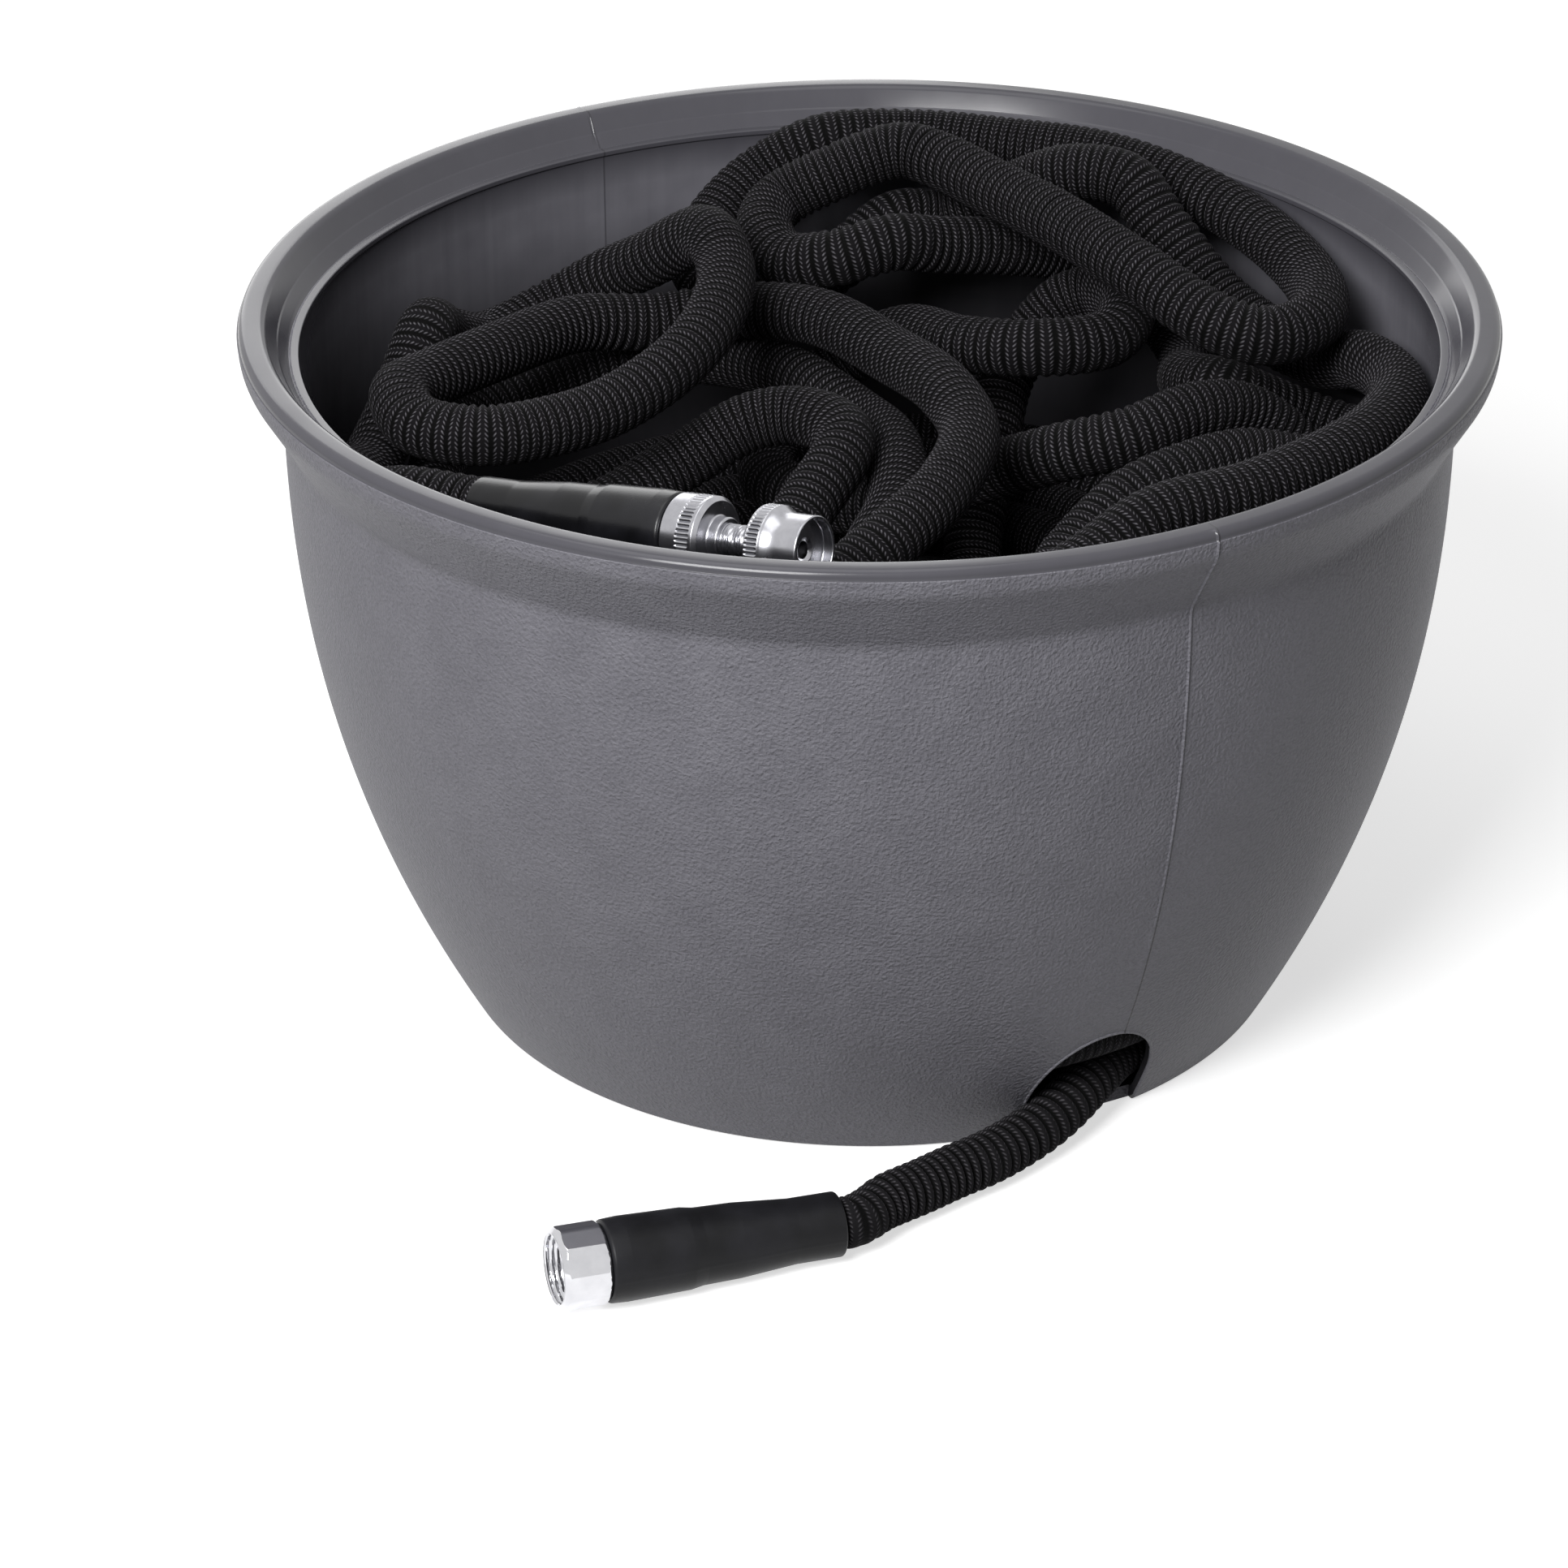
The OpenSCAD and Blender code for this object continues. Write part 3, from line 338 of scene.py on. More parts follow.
    def streaks(self, tree: bpy.types.NodeTree, place: Source, inside: Source) -> Source:
        """Draws the faint upright flow streaks of the inside wall.

        Args:
            tree: Node tree.
            place: Source of the object coordinates.
            inside: Source that is 1 on the inside.

        Returns:
            A node that gives the streaks' strength.
        """
        across, down = 1 / (self.streak_mm * MM), 1 / (self.streak_length_mm * MM)
        drawn = add_node(tree, "Mapping", {"Vector": place, "Scale": (across, across, down)})
        streak = add_node(tree, "TexNoise", {"Vector": drawn, "Scale": 1.0, "Detail": 2.0})
        lines = add_node(tree, "Math", {0: streak, 1: inside}, operation="MULTIPLY")
        return add_node(tree, "Math", {0: lines, 1: self.streak_tone}, operation="MULTIPLY")

    def inside_share(
        self,
        tree: bpy.types.NodeTree,
        height: Source,
        inside: Source,
        rise_mm: tuple[float, float],
        full: float,
    ) -> Source:
        """Gives a share on the inside of the pot that comes in with height.

        Args:
            tree: Node tree.
            height: Source of the height.
            inside: Source that is 1 on the inside.
            rise_mm: Heights at which the share is 0 and at which it is full.
            full: The full share.

        Returns:
            A node that gives the share.
        """
        start, end = (level * MM for level in rise_mm)
        rise = add_node(
            tree, "MapRange", {"Value": height, "From Min": start, "From Max": end, "To Max": full}
        )
        return add_node(tree, "Math", {0: rise, 1: inside}, operation="MULTIPLY")

    def hairline(self, tree: bpy.types.NodeTree, place: Source, height: Source) -> Source:
        """Draws the crack beside the parting line, faint above and dark at the outlet.

        Args:
            tree: Node tree.
            place: Source of the object coordinates.
            height: Source of the height.

        Returns:
            A node that gives the crack's strength.
        """
        across = add_node(
            tree, "VectorMath", {0: place, 1: tuple(self.seam_side)}, operation="DOT_PRODUCT"
        )
        offset, half = self.seam_offset_mm * MM, self.seam_width_mm / 2 * MM
        near = add_node(
            tree, "Math", {0: (across, "Value"), 1: offset, 2: half}, operation="COMPARE"
        )
        start, end = (level * MM for level in self.crack_mm)
        deeper = add_node(
            tree,
            "MapRange",
            {"Value": height, "From Min": start, "From Max": end, "To Min": self.crack_faint},
        )
        return add_node(tree, "Math", {0: near, 1: deeper}, operation="MULTIPLY")


class RibStyle(Enum):
    """Where the ribs of a sleeve come from."""

    MODELLED = "modelled"
    DRAWN = "drawn"


@dataclass(frozen=True)
class KnittedSleeve:
    """Knitted black polyester yarn, with painted highlight on its stitches and painted shade in
    grooves.

    Its loops of yarn give a matt, slightly hairy surface with a faint sheen.
    """

    name: str
    rib_mm: float
    ribs: RibStyle = RibStyle.MODELLED
    # Pale stitch flecks on the rib crests only: painted highlight where the yarn's crowns catch
    # the light
    yarn: str = "#68666B"
    base: str = "#111012"
    # The grooves: painted shade
    groove: str = "#040404"
    sheen: str = "#9A989C"
    # Coarser than the real stitch, which is too fine to show
    stitch_mm: float = 2.0
    rows: int = 2
    contrast: float = 1.0
    stitch_depth_mm: float = 0.35
    rib_depth_mm: float = 0.8
    fuzz_mm: float = 1.1
    lit_span: tuple[float, float] = (0.17, 0.50)
    groove_span: tuple[float, float] = (0.08, 0.7)
    smoothest: float = 0.72
    roughest: float = 0.95

    def build(self) -> bpy.types.Material:
        """Makes the material. It reads the wrap map, in metres: u around and v along.

        Returns:
            The finished node material.
        """
        material, tree = new_material(self.name)
        wrap = add_node(tree, "UVMap", uv_map="wrap")
        axes = add_node(tree, "SeparateXYZ", {"Vector": wrap})
        along = (axes, "Y")
        row_mm = self.rib_mm / self.rows
        # Each stitch leans one way in a row and the other way in the next, as knit does
        lean = add_node(
            tree,
            "Math",
            {0: self.wave(tree, along, 2 * row_mm), 1: self.stitch_mm * MM, 2: (axes, "X")},
            operation="MULTIPLY_ADD",
        )
        stitch = self.wave(tree, lean, self.stitch_mm)
        row = self.wave(tree, along, row_mm)
        knit = add_node(tree, "Math", {0: stitch, 1: row}, operation="MULTIPLY")
        place = (add_node(tree, "TexCoord"), "Object")
        fuzz = add_node(
            tree, "TexNoise", {"Vector": place, "Scale": 1 / (self.fuzz_mm * MM), "Detail": 3.0}
        )
        uneven = add_node(tree, "Math", {0: knit, 1: fuzz}, operation="MULTIPLY")
        start, end = self.lit_span
        fleck = add_node(
            tree,
            "MapRange",
            {"Value": uneven, "From Min": start, "From Max": end, "To Max": self.contrast},
        )
        rib = self.wave(tree, along, self.rib_mm)
        start, end = self.groove_span
        crest = add_node(tree, "MapRange", {"Value": rib, "From Min": start, "From Max": end})
        lit = add_node(tree, "Math", {0: fleck, 1: crest}, operation="MULTIPLY")
        # Painted shade darkens the grooves, and painted highlight puts pale stitch flecks on the
        # rib crests
        colour: Source | tuple = linear(self.groove)
        for share, over in ((crest, self.base), (lit, self.yarn)):
            colour = add_node(
                tree, "MixRGB", {"Fac": share, "Color1": colour, "Color2": linear(over)}
            )
        roughness = add_node(
            tree, "MapRange", {"Value": fuzz, "To Min": self.smoothest, "To Max": self.roughest}
        )
        bump = add_node(
            tree, "Bump", {"Height": uneven, "Distance": self.stitch_depth_mm * MM}
        )
        if self.ribs is RibStyle.DRAWN:
            drawn = add_node(tree, "Bump", {"Height": rib, "Distance": self.rib_depth_mm * MM})
            tree.links.new(drawn.outputs["Normal"], bump.inputs["Normal"])
        sockets = {
            "IOR": 1.45,
            "Specular IOR Level": 0.08,
            "Sheen Weight": 0.04,
            "Sheen Roughness": 0.5,
            "Sheen Tint": linear(self.sheen),
        }
        finish_surface(tree, colour, roughness, bump, sockets)
        return material

    def wave(self, tree: bpy.types.NodeTree, source: Source, pitch_mm: float) -> Source:
        """Draws a wave from 0 to 1 along one axis of the map.

        Args:
            tree: Node tree.
            source: Source of the distance along the axis, in metres.
            pitch_mm: Length of one wave.

        Returns:
            A node that gives the wave, 0 where the distance is 0.
        """
        turn = FULL_TURN / (pitch_mm * MM)
        phase = add_node(tree, "Math", {0: source, 1: turn}, operation="MULTIPLY")
        wave = add_node(tree, "Math", {0: phase}, operation="COSINE")
        return add_node(tree, "Math", {0: wave, 1: -0.5, 2: 0.5}, operation="MULTIPLY_ADD")


@dataclass(frozen=True)
class MouldedRubber:
    """Moulded synthetic rubber: near black, satin, with a faint skin texture and bloom."""

    name: str
    tint: str = "#131315"
    bloom: str = "#212125"
    bloom_mm: float = 22.0
    bloom_span: tuple[float, float] = (0.42, 0.75)
    grain_mm: float = 0.8
    grain_depth_mm: float = 0.03
    smoothest: float = 0.34
    roughest: float = 0.50
    specular: float = 0.18

    def build(self) -> bpy.types.Material:
        """Makes the material.

        Returns:
            The finished node material.
        """
        material, tree = new_material(self.name)
        place = (add_node(tree, "TexCoord"), "Object")
        grain = add_node(
            tree, "TexNoise", {"Vector": place, "Scale": 1 / (self.grain_mm * MM), "Detail": 2.0}
        )
        bloom = add_node(
            tree, "TexNoise", {"Vector": place, "Scale": 1 / (self.bloom_mm * MM), "Detail": 4.0}
        )
        start, end = self.bloom_span
        dusty = add_node(tree, "MapRange", {"Value": bloom, "From Min": start, "From Max": end})
        colour = add_node(
            tree,
            "MixRGB",
            {"Fac": dusty, "Color1": linear(self.tint), "Color2": linear(self.bloom)},
        )
        roughness = add_node(
            tree, "MapRange", {"Value": bloom, "To Min": self.smoothest, "To Max": self.roughest}
        )
        bump = add_node(tree, "Bump", {"Height": grain, "Distance": self.grain_depth_mm * MM})
        sockets = {"IOR": 1.52, "Specular IOR Level": self.specular}
        finish_surface(tree, colour, roughness, bump, sockets)
        return material


@dataclass(frozen=True)
class TurnedMetal:
    """Turned metal: fine rings from the tool under its plating, with faint smudges."""

    name: str
    tint: str
    smudge: str
    smoothest: float
    roughest: float
    smudge_mm: float = 6.0
    # Coarser than the tool's real rings, which are too fine to show
    ring_mm: float = 0.35
    ring_stretch: float = 0.05
    ring_depth_mm: float = 0.01

    def build(self) -> bpy.types.Material:
        """Makes the material.

        Returns:
            The finished node material.
        """
        material, tree = new_material(self.name)
        place = (add_node(tree, "TexCoord"), "Object")
        smear = add_node(
            tree, "TexNoise", {"Vector": place, "Scale": 1 / (self.smudge_mm * MM), "Detail": 4.0}
        )
        wrap = add_node(tree, "UVMap", uv_map="wrap")
        ring = 1 / (self.ring_mm * MM)
        rings = add_node(
            tree, "Mapping", {"Vector": wrap, "Scale": (self.ring_stretch * ring, ring, 1.0)}
        )
        tool = add_node(tree, "TexNoise", {"Vector": rings, "Scale": 1.0, "Detail": 1.0})
        colour = add_node(
            tree,
            "MixRGB",
            {"Fac": smear, "Color1": linear(self.smudge), "Color2": linear(self.tint)},
        )
        roughness = add_node(
            tree, "MapRange", {"Value": smear, "To Min": self.roughest, "To Max": self.smoothest}
        )
        bump = add_node(tree, "Bump", {"Height": tool, "Distance": self.ring_depth_mm * MM})
        finish_surface(tree, colour, roughness, bump, {"Metallic": 1.0})
        return material


# ---- Meshes ----


def grid_piece(
    name: str,
    points: np.ndarray,
    wrap: tuple[np.ndarray, np.ndarray],
    material: bpy.types.Material,
    sharp_deg: float,
) -> bpy.types.Object:
    """Makes a welded, smooth object from rows of points, closed round each row.

    Args:
        name: Name of the piece.
        points: Rows by sides by 3, in metres.
        wrap: Distance along of each row, and distance around of each side with one more
            for the closing edge, in metres.
        material: Its material.
        sharp_deg: Edges that turn by more than this stay sharp.

    Returns:
        The new object, linked to the scene.
    """
    along, around = wrap
    rows, sides = points.shape[:2]
    i, k = np.meshgrid(np.arange(rows - 1), np.arange(sides), indexing="ij")
    i, k = i.ravel(), k.ravel()
    after = (k + 1) % sides
    quads = np.stack(
        [i * sides + k, i * sides + after, (i + 1) * sides + after, (i + 1) * sides + k],
        axis=1,
    )
    u = np.stack([around[k], around[k + 1], around[k + 1], around[k]], axis=1)
    v = np.stack([along[i], along[i], along[i + 1], along[i + 1]], axis=1)
    mesh = bpy.data.meshes.new(name)
    mesh.from_pydata(points.reshape(-1, 3).tolist(), [], quads.tolist())
    layer = mesh.uv_layers.new(name="wrap")
    layer.data.foreach_set("uv", np.stack([u, v], axis=2).astype(np.float32).ravel())
    work = bmesh.new()
    work.from_mesh(mesh)
    bmesh.ops.remove_doubles(work, verts=work.verts, dist=0.002 * MM)
    bmesh.ops.dissolve_degenerate(work, edges=work.edges, dist=0.001 * MM)
    bmesh.ops.recalc_face_normals(work, faces=work.faces)
    work.to_mesh(mesh)
    work.free()
    return link_piece(name, mesh, material, sharp_deg)


def link_piece(
    name: str, mesh: bpy.types.Mesh, material: bpy.types.Material, sharp_deg: float
) -> bpy.types.Object:
    """Links a mesh as a smooth object.

    Args:
        name: Name of the piece.
        mesh: Its mesh, in the shared frame.
        material: Its material.
        sharp_deg: Edges that turn by more than this stay sharp.

    Returns:
        The new object.
    """
    mesh.materials.clear()
    mesh.materials.append(material)
    mesh.shade_smooth()
    mesh.set_sharp_from_angle(angle=math.radians(sharp_deg))
    piece = bpy.data.objects.new(name, mesh)
    bpy.context.scene.collection.objects.link(piece)
    return piece


def dress(piece: bpy.types.Object, body: str, slot: str, *nodes: str) -> bpy.types.Object:
    """Hands a piece to its body and hides the solids it stands for.

    Args:
        piece: The new piece.
        body: Body that it rides on.
        slot: Not used.
        nodes: Solids that it replaces.

    Returns:
        The same piece.
    """
    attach(piece, body)
    if nodes:
        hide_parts(*nodes)
    LOG.info("%s rides on %s, %d faces", piece.name, body, len(piece.data.polygons))
    return piece


def rounded(corners: Sequence[Row], steps: int = 6) -> np.ndarray:
    """Rounds the corners of a closed outline.

    Args:
        corners: (x, y, radius) of each corner, in millimetres; radius 0 stays sharp.
        steps: Straight pieces in each round.

    Returns:
        Points by 2, in millimetres.
    """
    made: list[np.ndarray] = []
    count = len(corners)
    for i, corner in enumerate(corners):
        here, radius = np.array(corner[:2], float), corner[2]
        if radius <= 0:
            made.append(here)
            continue
        to_last = np.array(corners[i - 1][:2], float) - here
        to_next = np.array(corners[(i + 1) % count][:2], float) - here
        to_last /= np.linalg.norm(to_last)
        to_next /= np.linalg.norm(to_next)
        half = math.acos(max(-1.0, min(1.0, float(to_last @ to_next)))) / 2
        middle = to_last + to_next
        centre = here + middle / np.linalg.norm(middle) * radius / math.sin(half)
        first = here + to_last * radius / math.tan(half) - centre
        last = here + to_next * radius / math.tan(half) - centre
        turn = math.atan2(first[0] * last[1] - first[1] * last[0], float(first @ last))
        begin = math.atan2(first[1], first[0])
        for step in range(steps + 1):
            angle = begin + turn * step / steps
            made.append(centre + radius * np.array([math.cos(angle), math.sin(angle)]))
    return np.array(made)


def refined(outline: np.ndarray, longest: float) -> np.ndarray:
    """Cuts the straight pieces of an open line so that none is too long.

    Args:
        outline: Points by 2, in millimetres.
        longest: Longest piece wanted.

    Returns:
        Points by 2, in millimetres.
    """
    made = [outline[0]]
    for a, b in zip(outline[:-1], outline[1:]):
        pieces = max(1, math.ceil(float(np.linalg.norm(b - a)) / longest))
        made.extend(a + (b - a) * step / pieces for step in range(1, pieces + 1))
    return np.array(made)


@dataclass(frozen=True)
class Turning:
    """An outline turned round an axis, as on a lathe.

    The outline is (radius, height) points in millimetres, the place a matrix that puts
    the axis in the shared frame in metres, and the relief gives new radii and heights.
    """

    outline: np.ndarray
    sides: int
    place: np.ndarray
    relief: Relief | None = None

    def build(
        self, name: str, material: bpy.types.Material, sharp_deg: float
    ) -> bpy.types.Object:
        """Makes the object.

        Args:
            name: Name of the piece.
            material: Its material.
            sharp_deg: Edges that turn by more than this stay sharp.

        Returns:
            The new object, linked to the scene.
        """
        shape = (len(self.outline), self.sides)
        turn = np.arange(self.sides + 1) * FULL_TURN / self.sides
        angle = np.broadcast_to(turn[:-1], shape)
        radius = np.broadcast_to(self.outline[:, :1], shape)
        height = np.broadcast_to(self.outline[:, 1:], shape)
        if self.relief is not None:
            radius, height = self.relief(angle, radius, height)
        local = np.stack([radius * np.cos(angle), radius * np.sin(angle), height], axis=2) * MM
        points = local @ self.place[:3, :3].T + self.place[:3, 3]
        widest = float(self.outline[:, 0].max())
        wrap = (distances(self.outline) * MM, turn * widest * MM)
        return grid_piece(name, points, wrap, material, sharp_deg)


def unit(vector: Row | np.ndarray) -> np.ndarray:
    """Gives the vector with length 1."""
    array = np.array(vector, float)
    return array / np.linalg.norm(array)


def spline(points: np.ndarray, start: np.ndarray, end: np.ndarray, steps: int) -> np.ndarray:
    """Draws a smooth curve through points.

    Args:
        points: Points by 3.
        start: Direction in which it leaves.
        end: Direction in which it arrives.
        steps: Straight pieces between two points.

    Returns:
        Points of the curve.
    """
    before = points[1] - 2 * np.linalg.norm(points[1] - points[0]) * start
    after = points[-2] + 2 * np.linalg.norm(points[-1] - points[-2]) * end
    q = np.vstack([before, points, after])
    t = (np.arange(steps) / steps)[:, None]
    made = [
        0.5
        * (
            2 * b
            + (c - a) * t
            + (2 * a - 5 * b + 4 * c - d) * t**2
            + (3 * b - a - 3 * c + d) * t**3
        )
        for a, b, c, d in zip(q[:-3], q[1:-2], q[2:-1], q[3:])
    ]
    return np.vstack([*made, points[-1:]])


def distances(path: np.ndarray) -> np.ndarray:
    """Gives the length of a path up to each of its points."""
    steps = np.linalg.norm(np.diff(path, axis=0), axis=1)
    return np.concatenate([[0.0], np.cumsum(steps)])


def points_at(path: np.ndarray, marks: np.ndarray) -> np.ndarray:
    """Gives the points of a path at the given distances from its start."""
    run = distances(path)
    return np.stack([np.interp(marks, run, path[:, axis]) for axis in range(3)], axis=1)


def rays_round(directions: np.ndarray, sides: int, offset: float = 0.0) -> np.ndarray:
    """Points out all round a path, carried along it without a twist.

    Args:
        directions: Unit tangents of the path.
        sides: Rays at each point.
        offset: Share of a side by which the first ray is turned.

    Returns:
        Points by sides by 3, of length 1.
    """
    side = unit(np.cross(directions[0], UP))
    carried = np.empty_like(directions)
    for i, direction in enumerate(directions):
        side = unit(side - (side @ direction) * direction)
        carried[i] = side
    up = np.cross(directions, carried)
    angle = ((np.arange(sides) + offset) * FULL_TURN / sides)[None, :, None]
    return np.cos(angle) * carried[:, None, :] + np.sin(angle) * up[:, None, :]


@dataclass(frozen=True)
class Ribs:
    """Gathered ribs of a knitted sleeve, in millimetres, with the mesh's rings to a rib.

    They crowd and open along the hose by up to `stray` ribs, in waves of `stray_length`.
    On a bend the grooves are deeper inside and shallower outside: by `bend_gain` times the
    hose's radius over the bend's, within `bend_span`.
    """

    pitch: float
    depth: float
    rings: int
    stray: float = 0.9
    stray_length: float = 170.0
    bend_gain: float = 2.2
    bend_span: tuple[float, float] = (0.1, 1.4)


@dataclass
class HoseRun:
    """One stretch of hose: its centreline and the sleeve over it, in millimetres."""

    path: np.ndarray
    radius: float
    ribs: Ribs
    sides: int = 24
    end_radius: float | None = None
    end_length: float = 38.0

    def phase(self, marks: np.ndarray) -> np.ndarray:
        """Counts the ribs along the run, which starts and ends in a groove.

        Args:
            marks: Distances from its start.

        Returns:
            Ribs up to each distance.
        """
        total = float(marks[-1])
        swing = FULL_TURN * max(1, round(total / self.ribs.stray_length)) / total
        even = marks / total * round(total / self.ribs.pitch)
        return even + self.ribs.stray * np.sin(swing * marks)

    def build(self, name: str, material: bpy.types.Material) -> bpy.types.Object:
        """Sweeps the sleeve along the centreline.

        Args:
            name: Name of the piece.
            material: Its material.

        Returns:
            The new object.
        """
        total = float(distances(self.path)[-1])
        count = max(8, round(total / self.ribs.pitch) * self.ribs.rings)
        marks = np.linspace(0, total, count + 1)
        centre = points_at(self.path, marks)
        tangent = np.gradient(centre, marks, axis=0)
        # The directions are smoothed over five rings, so that none folds over the next
        window = np.ones(5) / 5
        padded = np.pad(tangent, ((2, 2), (0, 0)), mode="edge")
        tangent = np.stack([np.convolve(padded[:, k], window, "valid") for k in range(3)], axis=1)
        tangent /= np.linalg.norm(tangent, axis=1, keepdims=True)
        bend = np.gradient(tangent, marks, axis=0) * self.radius
        ray = rays_round(tangent, self.sides, 0.5)
        # Grooves are deeper on the inside of a bend and shallower on its outside
        inward = np.einsum("ikc,ic->ik", ray, bend)
        share = np.clip(1.0 + self.ribs.bend_gain * inward, *self.ribs.bend_span)
        radius = np.full(len(marks), self.radius)
        if self.end_radius is not None:
            near = np.clip((marks - total + self.end_length) / self.radius, 0, 1)
            radius = radius + (self.end_radius - self.radius) * near
        phase = self.phase(marks)
        # Round ribs with sharp grooves between them
        groove = 1.0 - np.sqrt(0.5 - 0.5 * np.cos(FULL_TURN * phase))
        depth = self.ribs.depth * groove[:, None] * share
        ring = centre[:, None, :] + ray * (radius[:, None] - depth)[:, :, None]
        ends = [np.repeat(centre[i][None, None, :], self.sides, axis=1) for i in (0, -1)]
        points = np.concatenate([ends[0], ring, ends[1]]) * MM
        along = np.concatenate([phase[:1], phase, phase[-1:]]) * self.ribs.pitch * MM
        around = np.arange(self.sides + 1) * FULL_TURN / self.sides * self.radius * MM
        return grid_piece(name, points, (along, around), material, sharp_deg=80.0)


# ---- Shared sizes of the fittings ----


@dataclass(frozen=True)
class Heading:
    """A place and an axis, given by its yaw and its rise."""

    point: Row
    yaw: float
    rise: float

    @property
    def direction(self) -> np.ndarray:
        """Turns the yaw and the rise into a vector.

        Returns:
            Unit vector along the axis.
        """
        yaw, rise = math.radians(self.yaw), math.radians(self.rise)
        return np.array(
            [math.cos(rise) * math.cos(yaw), math.cos(rise) * math.sin(yaw), math.sin(rise)]
        )

    def behind(self, gap: float) -> "Heading":
        """Gives the same heading from a place further back."""
        back = np.array(self.point, float) - gap * self.direction
        return Heading(tuple(back), self.yaw, self.rise)

    @property
    def matrix(self) -> np.ndarray:
        """Places a turned form on the axis.

        Returns:
            4 by 4 matrix that puts the origin at the point and +Z along the axis, in metres.
        """
        turn = Matrix.Rotation(math.radians(self.yaw), 4, "Z") @ Matrix.Rotation(
            math.radians(90 - self.rise), 4, "Y"
        )
        return np.array(Matrix.Translation(Vector(self.point) * MM) @ turn)


SEAT_GAP = 0.3
NUT_LENGTH = 19.0
COUPLING = Heading(point=(-119.5, -289, 17.7), yaw=200, rise=2.2)
TAIL_CUFF = COUPLING.behind(NUT_LENGTH + SEAT_GAP)
RING_REAR = Heading(point=(-71, -163, 266), yaw=-33, rise=8)
NOZZLE_CUFF = RING_REAR.behind(SEAT_GAP)
HOSE_SEAT = 7.5
HOSE_D = 25.0
TAIL_D = 22.0
CUFF_LENGTH = 95.0
MOUTH_BACK = CUFF_LENGTH + 3


# ---- Pot ----


@dataclass
class Pot:
    """Moulded pot: bowed wall, rolled lip, recessed floor, outlet and parting line."""

    foot_d: float = 345.0
    neck_d: float = 474.0
    bow: float = 2.2
    wall: float = 4.6
    floor_z: float = 5.5
    recess: float = 2.0
    height: float = 293.6
    lip_d: float = 508.0
    lip_h: float = 38.6
    throat_d: float = 461.0
    throat_down: float = 12.4
    foot_ring_w: float = 12.0
    outlet_w: float = 57.0
    outlet_top: float = 53.0
    crown_h: float = 33.0
    outlet_az: float = 28.6
    seam_az: float = 30.4
    seam_h: float = 0.7
    seam_w: float = 1.3
    seam_low: float = 60.0
    seam_rise: float = 120.0
    seam_share: float = 0.15
    seam_bluntness: float = 1.4
    rim_bead_r: float = 0.9
    rim_bead_sides: int = 10
    drains: int = 4
    drain_d: float = 10.0
    drain_circle_d: float = 220.0
    sides: int = 256
    finish: MouldedPolyethylene = field(default_factory=MouldedPolyethylene)

    @property
    def neck_z(self) -> float:
        """Height at which the wall meets the lip."""
        return self.height - self.lip_h

    def wall_r(self, z: float) -> float:
        """Gives the outer radius of the wall at a height."""
        share = max(0.0, 1 - z / self.neck_z) ** self.bow
        return self.neck_d / 2 - (self.neck_d - self.foot_d) / 2 * share

    def outline(self) -> np.ndarray:
        """Draws the section of the shell.

        Returns:
            (radius, height) points from the underside's centre, round the outside and back.
        """
        levels = np.linspace(0, self.neck_z, 49)[1:-1]
        throat, lip, top = self.throat_d / 2, self.lip_d / 2, self.height
        bead, ring = top - self.throat_down, self.foot_d / 2 - self.foot_ring_w
        outside = [(self.wall_r(z), z, 0) for z in levels]
        inside = [
            (min(self.wall_r(z) - self.wall, throat), z, 0)
            for z in levels[::-1]
            if self.floor_z + 6 < z < bead - 8
        ]
        corners = [
            # Recessed floor and foot ring
            (0, self.recess, 0),
            (ring, self.recess, 0.8),
            (ring - 0.5, 0, 0.8),
            (self.wall_r(0), 0, 3),
            # Wall, and the lip that flares from it
            *outside,
            (self.wall_r(self.neck_z), self.neck_z, 12),
            (lip - 0.6, top - 11, 12),
            (lip, top - 4.3, 0.25),
            (lip - 0.6, top - 3.7, 0.25),
            # Crest, and the two steps inside the lip
            (lip - 0.7, top, 3.3),
            (lip - 10.5, top, 4),
            (throat + 7.8, top - 8.2, 0.3),
            (throat + 7.2, top - 8.8, 0.3),
            (throat + 4.5, bead, 0.8),
            (throat + 3.2, bead - 1.8, 0.3),
            (throat + 2.4, bead - 1.2, 0.3),
            (throat - 0.8, bead - 1.6, 0.5),
            (throat - 0.8, bead - 3.6, 0.5),
            (throat, bead - 4.4, 0.3),
            # Inside of the wall, and the floor
            *inside,
            (self.wall_r(self.floor_z) - self.wall, self.floor_z, 3),
            (0, self.floor_z, 0),
        ]
        return rounded(corners)

    def ring_angles(self) -> np.ndarray:
        """Spaces the rings' points, closer together at the parting line.

        Returns:
            Angles, in radians.
        """
        angles = list(np.arange(self.sides) * 360 / self.sides)
        half = math.degrees(self.seam_w / self.neck_d)
        for side in (0, 180):
            seam = (self.seam_az - 90 + side) % 360
            angles = [a for a in angles if abs(a - seam) > 2 * half]
            angles += [(seam + half * k) % 360 for k in (-1.0, -0.5, 0.0, 0.5, 1.0)]
        return np.radians(np.sort(np.array(angles)))

    def shell(self, material: bpy.types.Material) -> bpy.types.Object:
        """Builds the shell with its parting line, before any opening is cut.

        Args:
            material: The pot's material.

        Returns:
            A closed object that isn't part of the scene's pieces.
        """
        outline = self.outline()
        angle = self.ring_angles()
        radius = np.repeat(outline[:, :1], len(angle), axis=1)
        height = np.repeat(outline[:, 1:], len(angle), axis=1)
        out, level = outline[:, 0], outline[:, 1]
        # The parting line runs on the outside only, from the foot to the crest's edge
        wall = np.array([self.wall_r(min(z, self.neck_z)) - 1 for z in level])
        outside = (out > wall) & (level > 2.5)
        outside &= (level < self.height - 5) | (out > self.lip_d / 2 - 4)
        outside &= (out >= self.neck_d / 2 - 1) | (level < self.neck_z)
        half = self.seam_w / self.neck_d
